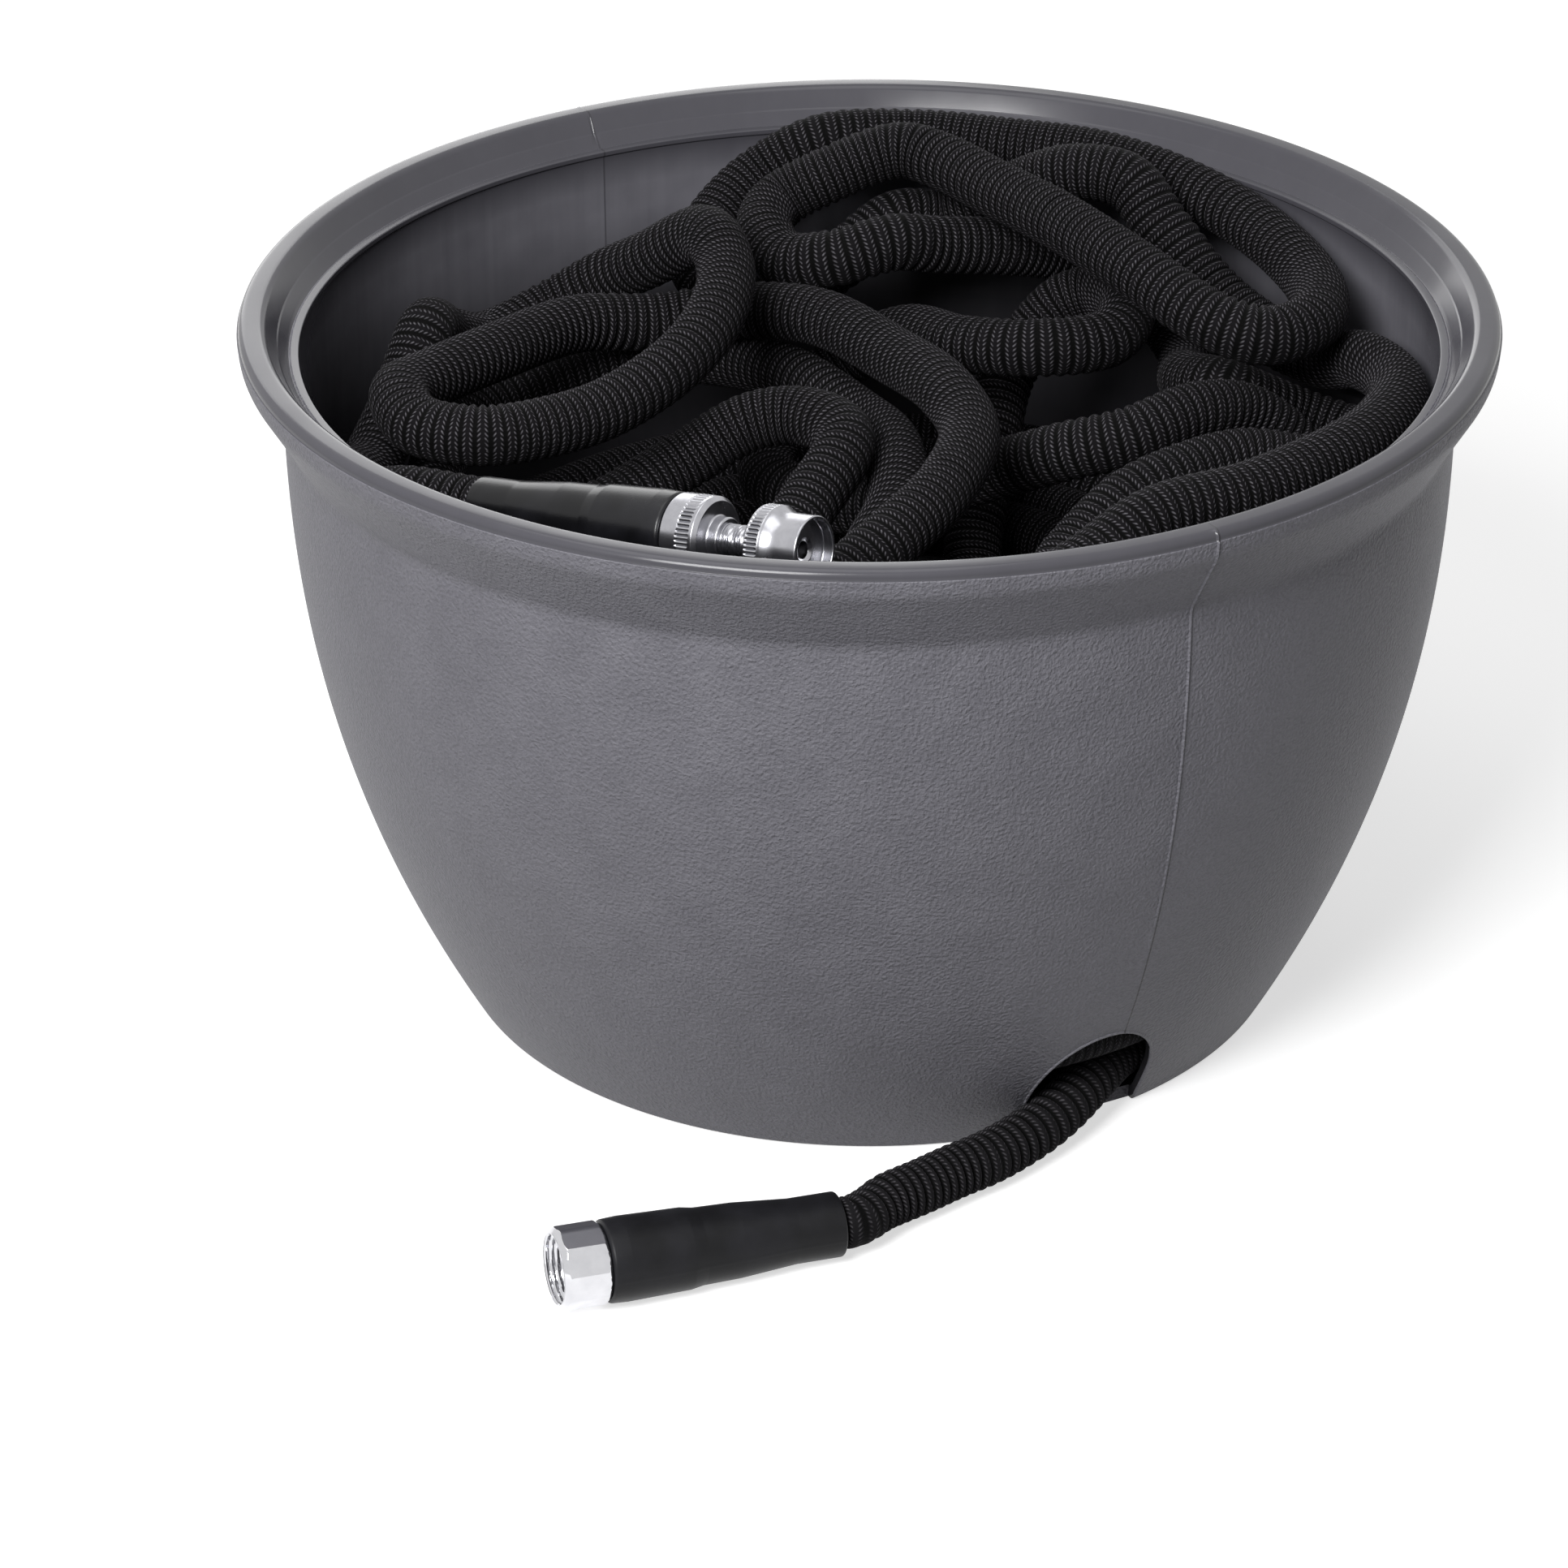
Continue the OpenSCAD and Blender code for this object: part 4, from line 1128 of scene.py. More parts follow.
        # Its ridge is trimmed lower towards the foot
        trimmed = np.clip((level - self.seam_low) / self.seam_rise, self.seam_share, 1)
        for side in (0, 180):
            seam = math.radians((self.seam_az - 90 + side) % 360)
            away = np.abs((angle - seam + math.pi) % FULL_TURN - math.pi) / half
            ridge = np.clip(self.seam_bluntness * (1 - away), 0, 1) * self.seam_h
            radius = radius + np.where(outside[:, None], ridge[None, :] * trimmed[:, None], 0)
        points = np.stack([radius * np.cos(angle), radius * np.sin(angle), height], axis=2)
        around = np.append(angle, angle[0] + FULL_TURN) * self.neck_d / 2
        wrap = (distances(outline) * MM, around * MM)
        return grid_piece("pot_shell_uncut", points * MM, wrap, material, sharp_deg=35.0)

    def arch(self, steps: int = 40) -> np.ndarray:
        """Draws the outlet from its left foot over the crown to its right foot.

        Args:
            steps: Straight pieces in the crown.

        Returns:
            (sideways, height) points, in millimetres.
        """
        half = self.outlet_w / 2
        spring = self.outlet_top - self.crown_h
        turn = np.linspace(math.pi, 0, steps + 1)
        crown = np.stack([half * np.cos(turn), spring + self.crown_h * np.sin(turn)], axis=1)
        feet = np.linspace(0, spring, 7)[:-1]
        left = np.stack([np.full(6, -half), feet], axis=1)
        right = np.stack([np.full(6, half), feet[::-1]], axis=1)
        return np.concatenate([left, crown, right])

    def cutter(self) -> bpy.types.Object:
        """Builds the solid that cuts the outlet and the drain holes.

        Returns:
            A closed object that isn't part of the scene's pieces.
        """
        work = bmesh.new()
        line, below = self.arch(), -4.0
        line = np.vstack([[line[0][0], below], line, [line[-1][0], below]])
        near, far = self.wall_r(0) - self.wall - 1, self.wall_r(0) + 40
        turn = Matrix.Rotation(math.radians(self.outlet_az - 90), 4, "Z")
        loops = []
        for distance in (near, far):
            loops.append(
                [work.verts.new(turn @ (Vector((distance, u, z)) * MM)) for u, z in line]
            )
        work.faces.new(loops[0])
        work.faces.new(loops[1][::-1])
        for k in range(len(line)):
            m = (k + 1) % len(line)
            work.faces.new((loops[0][m], loops[0][k], loops[1][k], loops[1][m]))
        for k in range(self.drains):
            angle = FULL_TURN * (k + 0.5) / self.drains
            middle = Vector((math.cos(angle), math.sin(angle), 0)) * self.drain_circle_d / 2
            bmesh.ops.create_cone(
                work,
                cap_ends=True,
                segments=36,
                radius1=self.drain_d / 2 * MM,
                radius2=self.drain_d / 2 * MM,
                depth=20 * MM,
                matrix=Matrix.Translation(middle * MM),
            )
        bmesh.ops.recalc_face_normals(work, faces=work.faces)
        mesh = bpy.data.meshes.new("pot_cutter")
        work.to_mesh(mesh)
        work.free()
        cutter = bpy.data.objects.new("pot_cutter", mesh)
        bpy.context.scene.collection.objects.link(cutter)
        return cutter

    def rim_bead(self, target: bmesh.types.BMesh) -> None:
        """Adds the thin rounded rim that runs along the outlet's outer edge.

        Args:
            target: Mesh that takes it.
        """
        turn = Matrix.Rotation(math.radians(self.outlet_az - 90), 4, "Z")
        # More than half of the bead is sunk in the wall, and it ends just above the ground
        line = [
            turn @ Vector((math.sqrt((self.wall_r(z) - 0.5) ** 2 - u * u), u, z))
            for u, z in self.arch()
            if z > self.rim_bead_r
        ]
        path = np.array([list(p) for p in line])
        tangent = np.gradient(path, distances(path), axis=0)
        tangent /= np.linalg.norm(tangent, axis=1, keepdims=True)
        sides = self.rim_bead_sides
        points = path[:, None, :] + self.rim_bead_r * rays_round(tangent, sides)
        rings = [[target.verts.new(spot) for spot in ring] for ring in points * MM]
        for a, b in zip(rings[:-1], rings[1:]):
            for k in range(sides):
                m = (k + 1) % sides
                target.faces.new((a[k], b[k], b[m], a[m]))
        target.faces.new(rings[0])
        target.faces.new(rings[-1][::-1])

    def build(self) -> bpy.types.Object:
        """Builds and dresses the pot.

        Returns:
            The piece that stands for the pot.
        """
        seam = math.radians(self.seam_az)
        finish = replace(self.finish, seam_side=(math.cos(seam), math.sin(seam), 0.0))
        material = finish.build()
        shell, cutter = self.shell(material), self.cutter()
        cut = shell.modifiers.new("openings", "BOOLEAN")
        cut.operation = "DIFFERENCE"
        cut.solver = "EXACT"
        cut.object = cutter
        graph = bpy.context.evaluated_depsgraph_get()
        mesh = bpy.data.meshes.new_from_object(shell.evaluated_get(graph))
        bpy.data.objects.remove(cutter)
        bpy.data.objects.remove(shell)
        work = bmesh.new()
        work.from_mesh(mesh)
        bmesh.ops.remove_doubles(work, verts=work.verts, dist=0.005 * MM)
        self.rim_bead(work)
        bmesh.ops.recalc_face_normals(work, faces=work.faces)
        work.to_mesh(mesh)
        work.free()
        piece = link_piece("pot_shell", mesh, material, sharp_deg=32.0)
        return dress(piece, "pot", "pot_shell", "pot")


# ---- Hose ----


@dataclass
class Hose:
    """Knitted hose: wound, loose and ribbed stretches, each on from the one before."""

    pot: Pot
    turn_gap: float = 0.8
    clear: float = 0.5
    wall_slack: float = 0.6
    wall_turns: int = 5
    top_turns: int = 4
    coil_start: Row = (111.0, -114.0, 18.5)
    coil_lead: Row = (0.6, 0.8, 0.0)
    lead_angle: float = 24.0
    wind_step: float = 15.0
    wind_stop: float = 5.0
    coil_end_r: float = 41.0
    draw_in: float = 150.0
    heart_gap: float = 14.0
    heart_hollow: float = 2.6
    coil_steps: int = 6
    lay_steps: int = 24
    loose_ribs: Ribs = Ribs(pitch=4.8, depth=1.3, rings=6)
    coil_ribs: Ribs = Ribs(pitch=4.8, depth=0.0, rings=1)
    tail_ribs: Ribs = Ribs(pitch=5.0, depth=2.2, rings=10)

    @property
    def row_pitch(self) -> float:
        """Distance between turns."""
        return HOSE_D + self.turn_gap

    def lie_r(self, z: float) -> float:
        """Finds where the hose lies against the inside of the wall.

        Args:
            z: Height of the hose's centreline.

        Returns:
            Radius of the centreline.
        """
        slope = self.pot.wall_r(z + 0.5) - self.pot.wall_r(z - 0.5)
        lean = math.cos(math.atan(slope))
        inside = self.pot.wall_r(z) - self.pot.wall - self.wall_slack
        return inside - (HOSE_D / 2 + self.clear) / lean

    def coil_z(self, turn: float) -> float:
        """Gives the height of the coil at a turn."""
        return self.coil_start[2] + self.row_pitch * min(turn, self.wall_turns)

    def turn_r(self, turn: float) -> float:
        """Gives the radius of the coil at a turn, before it draws in.

        Args:
            turn: Turns from the start of the coil.

        Returns:
            Radius: up the wall, then inwards beside the wall's last turn.
        """
        past = turn - self.wall_turns
        if past < 0:
            return self.lie_r(self.coil_z(turn))
        if past < 1:
            step = self.row_pitch * math.sqrt(past * (2 - past))
            return self.lie_r(self.coil_z(turn - 1)) - step
        return self.turn_r(turn - 1) - self.row_pitch

    def coil_path(self) -> np.ndarray:
        """Winds the coil from the tail to its end near the pot's axis.

        Returns:
            Points of the centreline, in millimetres.
        """
        start = np.array(self.coil_start)
        start_angle = math.degrees(math.atan2(start[1], start[0]))
        end = 360 * (self.wall_turns + self.top_turns) - start_angle
        inner = self.turn_r(end / 360) - self.coil_end_r
        points = [start, start + TAIL_D * unit(self.coil_lead)]
        for angle in np.arange(self.lead_angle, end - self.wind_stop, self.wind_step):
            share = max(0.0, (angle - end + self.draw_in) / self.draw_in)
            radius = self.turn_r(angle / 360) - inner * share * share * (3 - 2 * share)
            around = math.radians(start_angle + angle)
            points.append(
                np.array(
                    [
                        radius * math.cos(around),
                        radius * math.sin(around),
                        self.coil_z(angle / 360),
                    ]
                )
            )
        points.append(np.array([self.coil_end_r, 0, COIL_TOP_Z]))
        points.append(np.array([self.coil_end_r, HOSE_D, COIL_TOP_Z]))
        lead, last = unit(self.coil_lead), np.array([0.0, 1.0, 0.0])
        return spline(np.array(points), lead, last, self.coil_steps)

    def loose_paths(self) -> list[np.ndarray]:
        """Draws the loose hose and cuts it where its stretches meet.

        Returns:
            The four stretches' centrelines, in millimetres.
        """
        seat = np.array(NOZZLE_CUFF.point) - HOSE_SEAT * NOZZLE_CUFF.direction
        entry = np.array(NOZZLE_CUFF.point) - MOUTH_BACK * NOZZLE_CUFF.direction
        routes = [LOWER_ROUTE, MIDDLE_ROUTE, UPPER_ROUTE, LEFT_ROUTE]
        route = np.array([point for part in routes for point in part], float)
        steps = self.lay_steps
        curve = spline(
            np.vstack([route, entry]), np.array([0.0, 1.0, 0.0]), NOZZLE_CUFF.direction, steps
        )
        ends = [0]
        for part in routes[:3]:
            ends.append(ends[-1] + len(part))
        cuts = [0, *(steps * (end - 1) for end in ends[1:]), len(curve) - 1]
        paths = [curve[a : b + 1] for a, b in zip(cuts[:-1], cuts[1:])]
        paths[-1] = np.vstack([paths[-1], seat])
        return paths

    def tail_path(self) -> np.ndarray:
        """Draws the ribbed tail from the coil to its seat in the cuff.

        Returns:
            Points of the centreline, in millimetres.
        """
        entry = np.array(TAIL_CUFF.point) - MOUTH_BACK * TAIL_CUFF.direction
        seat = np.array(TAIL_CUFF.point) - HOSE_SEAT * TAIL_CUFF.direction
        start, lead = np.array(self.coil_start), unit(self.coil_lead)
        points = np.vstack([entry, np.array(TAIL_ROUTE, float), start - TAIL_D * lead, start])
        curve = spline(points, -TAIL_CUFF.direction, lead, self.lay_steps)
        return np.vstack([curve[::-1], seat])

    def heart(self, material: bpy.types.Material) -> bpy.types.Object:
        """Builds the turns that fill the middle of the coil, as rings of one section.

        Args:
            material: The sleeve's material.

        Returns:
            The new object.
        """
        inset, low = HOSE_D / 2 + self.heart_gap, self.pot.floor_z + SEAT_GAP
        high = COIL_TOP_Z - HOSE_D / 2 - SEAT_GAP
        # Bevels at the foot and the upper edge
        foot_in, foot_up, edge = 5, 3, 2

        def hollow(distance: float) -> float:
            """Gives how far the section falls back between two turns."""
            return self.heart_hollow * (1 - abs(math.sin(math.pi * distance / self.row_pitch)))

        line = [(0.0, low), (self.lie_r(self.coil_start[2]) - inset - foot_in, low)]
        for z in np.linspace(low + foot_up, high - edge, 60):
            line.append((self.lie_r(z) - inset - hollow(z - low), z))
        for r in np.linspace(self.lie_r(high) - inset - edge, 0, 80):
            line.append((r, high - hollow(r)))
        turning = Turning(np.array(line), 96, np.eye(4))
        return turning.build("hose_heart_turns", material, sharp_deg=35.0)

    def build(self) -> dict[str, bpy.types.Object]:
        """Builds the hose's stretches and dresses them.

        Returns:
            The last loose stretch and the tail, which carry the ends.
        """
        sleeve = KnittedSleeve("knitted_polyester_sleeve", self.loose_ribs.pitch).build()
        wound = KnittedSleeve(
            "knitted_polyester_sleeve_wound", self.coil_ribs.pitch, RibStyle.DRAWN
        ).build()
        ribbed = KnittedSleeve(
            "knitted_polyester_sleeve_ribbed",
            self.tail_ribs.pitch,
            # Paler ribs and dimmer stitch flecks for the tail, with the same painted highlight and
            # painted shade
            base="#1A191B",
            yarn="#5A585C",
            contrast=0.8,
        ).build()
        slot = "hose_fabric"
        path = self.coil_path()
        coil = HoseRun(path, HOSE_D / 2, self.coil_ribs, sides=20).build(
            "hose_coil_sleeve", wound
        )
        dress(coil, "pot", slot, "hose_coil")
        dress(self.heart(wound), "pot", slot, "coil_core")
        names = ("lower", "middle", "upper", "left")
        for name, path in zip(names, self.loose_paths()):
            last = name == "left"
            run = HoseRun(
                path,
                HOSE_D / 2,
                self.loose_ribs,
                end_radius=TAIL_D / 2 if last else None,
            )
            piece = run.build(f"hose_{name}_sleeve", sleeve)
            dress(piece, "pot", slot, f"hose_{name}")
            if last:
                ends = {"nozzle": (piece, path)}
        path = self.tail_path()
        tail = HoseRun(
            path,
            TAIL_D / 2,
            self.tail_ribs,
            sides=32,
            end_radius=TAIL_D / 2 - 0.7,
            end_length=CUFF_LENGTH + 22,
        ).build("hose_tail_sleeve", ribbed)
        dress(tail, "pot", slot, "hose_tail")
        ends["tail"] = (tail, path)
        return ends


# ---- Hose ends ----


@dataclass
class Cuff:
    """Rubber sleeve over a hose end, swelling in two soft steps to its fitting."""

    front_d: float = 33.0
    rear_d: float = 25.5
    face_t: float = 2.7
    line_w: float = 0.6
    line_h: float = 0.12
    neck_r: float = 9.2
    pocket_r: float = 13.3
    pocket_end: float = -30.0
    # Share of the swelling lost, share of the length, and the round of each corner
    swells: tuple[Row, ...] = (
        (0, 0.08, 4), (0.10, 0.24, 10), (0.16, 0.345, 6), (0.40, 0.40, 6), (0.50, 0.56, 12),
        (1, 0.80, 12),
    )

    def outline(self) -> np.ndarray:
        """Draws the section.

        Returns:
            Closed (radius, height) points, with the front face at height 0.
        """
        front, rear, length = self.front_d / 2, self.rear_d / 2, CUFF_LENGTH
        swell = front - rear
        corners = [
            (self.neck_r, 0, 0.4),
            (front - 0.4, 0, 1.6),
            *((front - swell * lost, -length * down, turn) for lost, down, turn in self.swells),
            (rear, -length, 1.1),
            (TAIL_D / 2 - 0.9, -length, 0.5),
            (TAIL_D / 2 - 0.9, -length + 4, 0),
            (TAIL_D / 2 + SEAT_GAP, -length + 6, 0),
            (TAIL_D / 2 + SEAT_GAP, self.pocket_end - 4, 0),
            (self.pocket_r, self.pocket_end - 2, 0),
            (self.pocket_r, -self.face_t, 0),
            (self.neck_r, -self.face_t, 0),
        ]
        outline = rounded(corners, steps=8)
        return refined(np.vstack([outline, outline[:1]]), 4.0)

    def build(
        self, name: str, heading: Heading, material: bpy.types.Material, node: str
    ) -> bpy.types.Object:
        """Builds and dresses a cuff.

        Args:
            name: Name of the piece.
            heading: Its front face.
            material: Rubber.
            node: Solid that it stands for.

        Returns:
            The piece.
        """

        def mould_line(angle: np.ndarray, radius: np.ndarray, height: np.ndarray) -> Moved:
            """Raises a fine line where the mould parted, on both sides.

            Args:
                angle: Angles of the points.
                radius: Their radii.
                height: Their heights.

            Returns:
                Their new radii and heights.
            """
            away = np.abs((angle % math.pi) - math.pi / 2) * self.front_d / 2
            line = np.clip(1 - away / self.line_w, 0, 1) * self.line_h
            return radius + np.where(radius > self.rear_d / 2 - 0.25, line, 0), height

        turning = Turning(self.outline(), 128, heading.matrix, mould_line)
        piece = turning.build(name, material, sharp_deg=40.0)
        return dress(piece, "pot", "cuff_rubber", node)


def helix(angle: np.ndarray, height: np.ndarray, pitch: float) -> np.ndarray:
    """Gives a thread's form, from 0 at its root to 1 at its crest."""
    phase = (height / pitch - angle / FULL_TURN) % 1
    return np.clip(1.35 * (1 - np.abs(2 * phase - 1)) - 0.15, 0, 1)


def knurl(angle: np.ndarray, height: np.ndarray, band: Row, count: int) -> np.ndarray:
    """Gives the depth of straight knurling, from 0 on its lands to 1 in its grooves.

    Args:
        angle: Angles of the points.
        height: Heights of the points.
        band: Lowest and highest height of the band.
        count: Grooves round it.

    Returns:
        Share of the full depth at each point.
    """
    across = np.abs((angle * count / FULL_TURN) % 1 - 0.5) * 2
    groove = np.clip((across - 0.3) / 0.5, 0, 1) ** 2
    fade = np.clip(np.minimum(height - band[0], band[1] - height) / 0.5, 0, 1)
    return groove * fade


@dataclass
class SwivelNut:
    """Chromed nut: ten flats with turned corners and a female hose thread."""

    flats: int = 10
    across: float = 31.5
    corner_r: float = 16.25
    bevel: float = 1.4
    mouth_bevel: float = 2.24
    bore: float = 26.6
    neck_r: float = 9.2
    flange_t: float = 2.0
    thread_pitch: float = 2.21
    thread_depth: float = 0.8

    def build(self) -> bpy.types.Object:
        """Builds and dresses the nut.

        Returns:
            The piece.
        """
        rear, front = SEAT_GAP, SEAT_GAP + NUT_LENGTH
        corner, bore, neck = self.corner_r, self.bore / 2, self.neck_r
        outside = rounded(
            [
                (neck, rear, 0.3),
                (corner - self.bevel, rear, 0.4),
                (corner, rear + self.bevel, 0.8),
                (corner, front - self.mouth_bevel, 1.2),
                (corner - self.mouth_bevel, front, 0.7),
                (bore + 0.7, front, 0.3),
                (bore, front - 0.8, 0),
            ]
        )
        inside = rounded(
            [
                (bore, front - 0.8, 0),
                (bore, rear + self.flange_t, 0.4),
                (neck, rear + self.flange_t, 0.2),
                (neck, rear, 0),
            ]
        )
        apothem = self.across / 2
        facet = FULL_TURN / self.flats

        def form(angle: np.ndarray, radius: np.ndarray, height: np.ndarray) -> Moved:
            """Cuts the flats on the outside and the thread on the inside.

            Args:
                angle: Angles of the points.
                radius: Their radii.
                height: Their heights.

            Returns:
                Their new radii and heights.
            """
            flat = apothem / np.cos(angle % facet - facet / 2)
            cut = np.where(radius > bore + 1.2, np.minimum(radius, flat), radius)
            in_bore = np.abs(radius - bore) < 0.05
            # The thread runs out before the flange and before the mouth
            ease = np.clip((height - rear - self.flange_t - 0.6) / 1.5, 0, 1)
            ease = ease * np.clip((front - 0.9 - height) / 0.8, 0, 1)
            groove = self.thread_depth * (1 - helix(angle, height, self.thread_pitch)) * ease
            return cut + np.where(in_bore, groove, 0), height

        outline = np.vstack([refined(outside, 1.2), refined(inside, 0.24)[1:]])
        chrome = TurnedMetal("chromed_brass", "#DADADD", "#C2C2C6", 0.06, 0.16).build()
        turning = Turning(outline, self.flats * 18, TAIL_CUFF.matrix, form)
        piece = turning.build("swivel_nut", chrome, sharp_deg=28.0)
        return dress(piece, "coupling", "nut_chrome", "coupling_nut")


@dataclass
class TwistNozzle:
    """Twist nozzle: knurled ring, shoulder and threaded neck, and the barrel on it.

    Lengths run forward from the nozzle cuff's face. The real knurling is twice as fine.
    """

    ring_r: float = 16.25
    ring_front: float = 17.3
    shoulder_r: float = 8.8
    shoulder_front: float = 22.3
    neck_r: float = 6.5
    neck_end: float = 44.6
    tip_r: float = 3.0
    tip_end: float = 49.6
    barrel_rear: float = 38.3
    barrel_front: float = 61.3
    collar_r: float = 15.8
    collar_w: float = 8.0
    mouth_r: float = 13.5
    knurls: int = 54
    knurl_depth: float = 0.7
    neck_thread: float = 1.1
    neck_depth: float = 0.55
    socket_r: float = 13.3
    socket_end: float = 14.7
    sweep: float = 6.0
    fit: float = 0.1
    mouth_in: float = 12.2
    disc_back: float = 4.6
    disc_t: float = 2.0
    hole_r: float = 3.4
    chamber_gap: float = 3.4
    seal_gap: float = 1.95
    seal_from: float = 1.5
    seal_to: float = 3.5

    def base(self, material: bpy.types.Material) -> bpy.types.Object:
        """Builds the ring, shoulder and neck.

        Args:
            material: Plated alloy.

        Returns:
            The piece.
        """
        bore, rear, floor = self.socket_r, SEAT_GAP, self.socket_end
        outline = rounded(
            [
                (bore, rear, 0),
                (self.ring_r - 1, rear, 0.4),
                (self.ring_r, rear + 1, 0.5),
                (self.ring_r, self.ring_front - 1.6, 0.6),
                (self.ring_r - 1.6, self.ring_front, 0.6),
                (self.shoulder_r, self.ring_front, 0.8),
                (self.shoulder_r, self.shoulder_front, 0.8),
                (self.neck_r, self.shoulder_front, 0.2),
                (self.neck_r, self.neck_end, 0),
                (self.tip_r, self.neck_end + 1.6, 0.4),
                (self.tip_r, self.tip_end, 1),
                (0, self.tip_end, 0),
                (0, floor, 0),
                (bore, floor, 0),
            ]
        )
        outline = refined(np.vstack([outline, outline[:1]]), 0.4)

        def form(angle: np.ndarray, radius: np.ndarray, height: np.ndarray) -> Moved:
            """Cuts the knurled band of the ring and the thread of the neck.

            Args:
                angle: Angles of the points.
                radius: Their radii.
                height: Their heights.

            Returns:
                Their new radii and heights.
            """
            band = (self.ring_front - 9, self.ring_front - 3)
            cut = knurl(angle, height, band, self.knurls) * self.knurl_depth
            on_ring = np.abs(radius - self.ring_r) < 0.02
            on_neck = np.abs(radius - self.neck_r) < 0.02
            ease = np.clip((height - self.shoulder_front - 0.6) / 0.8, 0, 1)
            thread = self.neck_depth * (1 - helix(angle, height, self.neck_thread)) * ease
            return radius - np.where(on_ring, cut, 0) - np.where(on_neck, thread, 0), height

        turning = Turning(outline, self.knurls * 5, NOZZLE_CUFF.matrix, form)
        piece = turning.build("nozzle_ring_and_neck", material, sharp_deg=30.0)
        return dress(piece, "pot", "nozzle_alloy", "nozzle_base")

    def barrel(self, material: bpy.types.Material) -> bpy.types.Object:
        """Builds the barrel with its knurled collar and open mouth.

        Args:
            material: Plated alloy.

        Returns:
            The piece.
        """
        rear, front = self.barrel_rear, self.barrel_front
        collar_front, disc, hole = rear + self.collar_w, front - self.disc_back, self.hole_r
        disc_rear = disc - self.disc_t
        guide, chamber = self.neck_r + self.fit, self.neck_r + self.chamber_gap
        pocket = self.neck_r + self.seal_gap
        seal_rear, seal_front = rear + self.seal_from, rear + self.seal_to
        rise, sweep = self.collar_r - 0.6 - self.mouth_r, self.sweep
        hollow = [
            (self.mouth_r + rise * (1 - k / 9) ** 2, collar_front + sweep * k / 9, 0)
            for k in range(1, 9)
        ]
        outline = rounded(
            [
                (guide, rear, 0),
                (self.collar_r - 1.2, rear, 0.4),
                (self.collar_r, rear + 1.2, 0.5),
                (self.collar_r, collar_front - 0.8, 0.5),
                (self.collar_r - 0.6, collar_front, 0.2),
                *hollow,
                (self.mouth_r, collar_front + sweep, 0),
                (self.mouth_r, front, 0.5),
                (self.mouth_in, front, 0.4),
                (self.mouth_in, disc, 0.5),
                (hole + 1.5, disc, 0.3),
                (hole, disc - 0.8, 0.2),
                (hole, disc_rear, 0),
                (chamber, disc_rear, 0),
                (chamber, seal_front + 1.5, 0),
                (guide, seal_front + 1.5, 0),
                (guide, seal_front + 0.15, 0),
                (pocket, seal_front + 0.15, 0),
                (pocket, seal_rear - 0.15, 0),
                (guide, seal_rear - 0.15, 0),
            ]
        )
        outline = refined(np.vstack([outline, outline[:1]]), 0.6)

        def form(angle: np.ndarray, radius: np.ndarray, height: np.ndarray) -> Moved:
            """Cuts the knurled band of the collar.

            Args:
                angle: Angles of the points.
                radius: Their radii.
                height: Their heights.

            Returns:
                Their new radii and heights.
            """
            band = (rear + 1.4, collar_front - 1.2)
            cut = knurl(angle, height, band, self.knurls) * self.knurl_depth
            return radius - np.where(np.abs(radius - self.collar_r) < 0.02, cut, 0), height

        turning = Turning(outline, self.knurls * 5, NOZZLE_CUFF.matrix, form)
        piece = turning.build("nozzle_twist_barrel", material, sharp_deg=30.0)
        return dress(piece, "nozzle_head", "nozzle_alloy", "nozzle_barrel")

    def build(self) -> list[bpy.types.Object]:
        """Builds and dresses the nozzle.

        Returns:
            Its pieces.
        """
        alloy = TurnedMetal("plated_aluminium", "#C4C4C8", "#94949A", 0.18, 0.32).build()
        return [self.base(alloy), self.barrel(alloy)]


# ---- Stage ----


@dataclass(frozen=True)
class Lamp:
    """Square soft lamp: its name, place and side in metres, and power in watts."""

    name: str
    place: Row
    size: float
    power: float


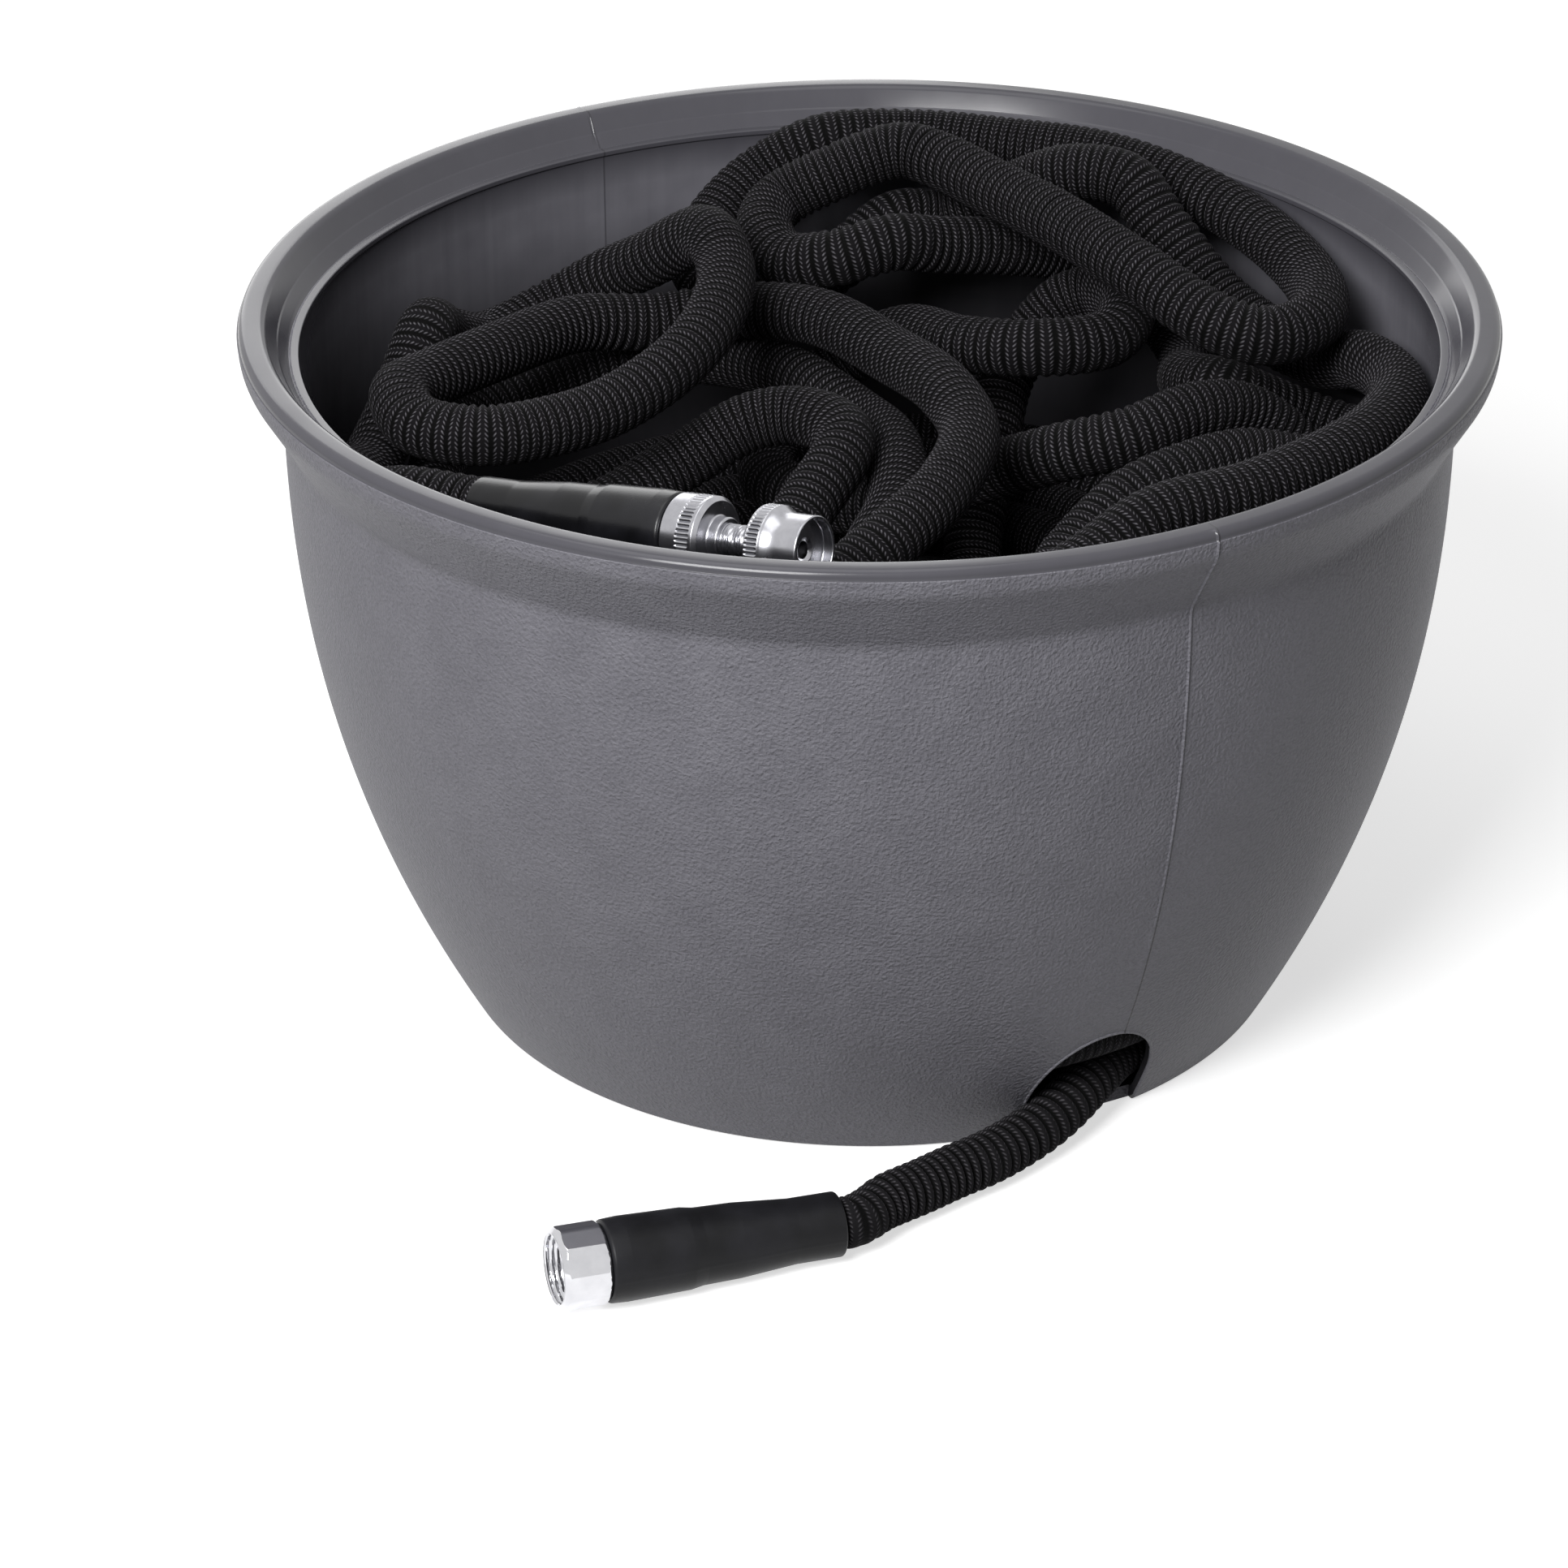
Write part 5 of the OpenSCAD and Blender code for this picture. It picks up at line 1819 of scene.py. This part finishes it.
@dataclass
class Studio:
    """Camera, floor, world and lamps.

    The lamps are a strong one at the front left, a weak one overhead, and a low one at
    the back left that lights the crest and the pot's back.
    """

    eye: Row = (0.0, -2.0536, 1.1599)
    look_at: Row = (0.0, 0.0, 0.127)
    lens_mm: float = 126.7
    shift: tuple[float, float] = (-0.0545, -0.0735)
    sensor_mm: float = 36.0
    white: str = "#FFFFFF"
    paper: str = "#666666"
    seen_paper: str = "#DADADA"
    lift: float = 0.64
    world_light: float = 0.09
    floor_half: float = 6.0
    floor_drop: float = 0.0002
    aim: Row = (0.0, 0.0, 0.15)
    lamps: tuple[Lamp, ...] = (
        Lamp("lamp_left", (-0.7, -1.6, 1.6), 0.9, 54.0),
        Lamp("lamp_top", (-0.3, 0.0, 2.2), 1.4, 10.0),
        Lamp("lamp_back", (-0.6, 2.2, 0.9), 1.4, 11.0),
    )

    def camera(self) -> None:
        """Sets the camera at the photograph's angle."""
        data = bpy.data.cameras.new("camera")
        data.lens = self.lens_mm
        data.sensor_width = self.sensor_mm
        data.shift_x, data.shift_y = self.shift
        bpy.context.scene.camera = self.aimed("camera", data, self.eye, self.look_at)

    def aimed(self, name: str, data: bpy.types.ID, place: Row, target: Row) -> bpy.types.Object:
        """Sets up a camera or a lamp.

        Args:
            name: Its name.
            data: Its data.
            place: Where it stands, in metres.
            target: The point that it faces.

        Returns:
            The new object, linked to the scene.
        """
        made = bpy.data.objects.new(name, data)
        made.location = place
        aim = Vector(target) - Vector(place)
        made.rotation_euler = aim.to_track_quat("-Z", "Y").to_euler()
        bpy.context.scene.collection.objects.link(made)
        return made

    def seen_plainly(self, tree: bpy.types.NodeTree) -> Source:
        """Tells rays that look at the background from those that carry light.

        Args:
            tree: Node tree of the floor or the world.

        Returns:
            A node that gives 1 for camera, glossy and transmission rays.
        """
        ray = add_node(tree, "LightPath")
        seen = add_node(
            tree,
            "Math",
            {0: (ray, "Is Camera Ray"), 1: (ray, "Is Glossy Ray")},
            operation="MAXIMUM",
        )
        return add_node(
            tree, "Math", {0: seen, 1: (ray, "Is Transmission Ray")}, operation="MAXIMUM"
        )

    def world(self) -> None:
        """Lights the scene softly from all sides, on a white background."""
        world = bpy.data.worlds.new("studio")
        bpy.context.scene.world = world
        world.use_nodes = True
        tree = world.node_tree
        tree.nodes.clear()
        white = linear(self.white)
        soft = add_node(tree, "Background", {"Color": white, "Strength": self.world_light})
        plain = add_node(tree, "Background", {"Color": white, "Strength": 1.0})
        mixed = add_node(tree, "MixShader", {0: self.seen_plainly(tree), 1: soft, 2: plain})
        add_node(tree, "OutputWorld", {"Surface": mixed})

    def floor(self) -> None:
        """Lays a white sheet that keeps the object's shadow."""
        work = bmesh.new()
        bmesh.ops.create_grid(work, x_segments=8, y_segments=8, size=self.floor_half)
        mesh = bpy.data.meshes.new("floor_sheet")
        work.to_mesh(mesh)
        work.free()
        material, tree = new_material("white_sheet")
        seen = self.seen_plainly(tree)
        colour = add_node(
            tree,
            "MixRGB",
            {"Fac": seen, "Color1": linear(self.paper), "Color2": linear(self.seen_paper)},
        )
        sheet = add_node(tree, "BsdfDiffuse", {"Color": colour})
        glow = add_node(tree, "Emission", {"Color": linear(self.white), "Strength": self.lift})
        dark = add_node(tree, "Emission", {"Strength": 0.0})
        lift = add_node(tree, "MixShader", {0: seen, 1: dark, 2: glow})
        both = add_node(tree, "AddShader", {0: sheet, 1: lift})
        add_node(tree, "OutputMaterial", {"Surface": both})
        mesh.materials.append(material)
        floor = bpy.data.objects.new("floor_sheet", mesh)
        floor.location = (0, 0, -self.floor_drop)
        bpy.context.scene.collection.objects.link(floor)

    def light(self) -> None:
        """Hangs the lamps, which face the pot."""
        for lamp in self.lamps:
            data = bpy.data.lights.new(lamp.name, "AREA")
            data.shape = "SQUARE"
            data.size = lamp.size
            data.energy = lamp.power
            self.aimed(lamp.name, data, lamp.place, self.aim)


TAIL_SOLIDS = ("tail_ferrule", "tail_stem", "coupling_washer")
NOZZLE_SOLIDS = ("nozzle_ferrule", "nozzle_stem", "nozzle_washer", "nozzle_seal")


def dress_solids() -> None:
    """Gives the solids that stay in view their own materials."""
    metal = TurnedMetal("turned_aluminium", "#C4C4C7", "#A8A8AC", 0.22, 0.36).build()
    rubber = MouldedRubber("moulded_nitrile", smoothest=0.45, roughest=0.6).build()
    for node in (*TAIL_SOLIDS, *NOZZLE_SOLIDS):
        material = metal if node.endswith(("ferrule", "stem")) else rubber
        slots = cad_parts[node].data.materials
        slots.clear()
        slots.append(material)


def main() -> None:
    """Builds the scene in order and reports its pieces."""
    logging.basicConfig(level=logging.INFO)
    bpy.context.scene.view_settings.view_transform = "Standard"
    studio = Studio()
    studio.camera()
    pot = Pot()
    ends = Hose(pot).build()
    pot.build()
    rubber = MouldedRubber("moulded_rubber_cuff").build()
    handled = MouldedRubber(
        "moulded_rubber_cuff_handled",
        tint="#0B0B0D",
        bloom="#1A1A1E",
        smoothest=0.16,
        roughest=0.34,
        specular=0.3,
    ).build()
    tail_cuff = Cuff().build("tail_cuff_rubber", TAIL_CUFF, rubber, "tail_cuff")
    nozzle_cuff = Cuff().build("nozzle_cuff_rubber", NOZZLE_CUFF, handled, "nozzle_cuff")
    nut = SwivelNut().build()
    nozzle = TwistNozzle().build()
    dress_solids()
    studio.floor()
    studio.world()
    studio.light()


if __name__ == "__main__":
    main()
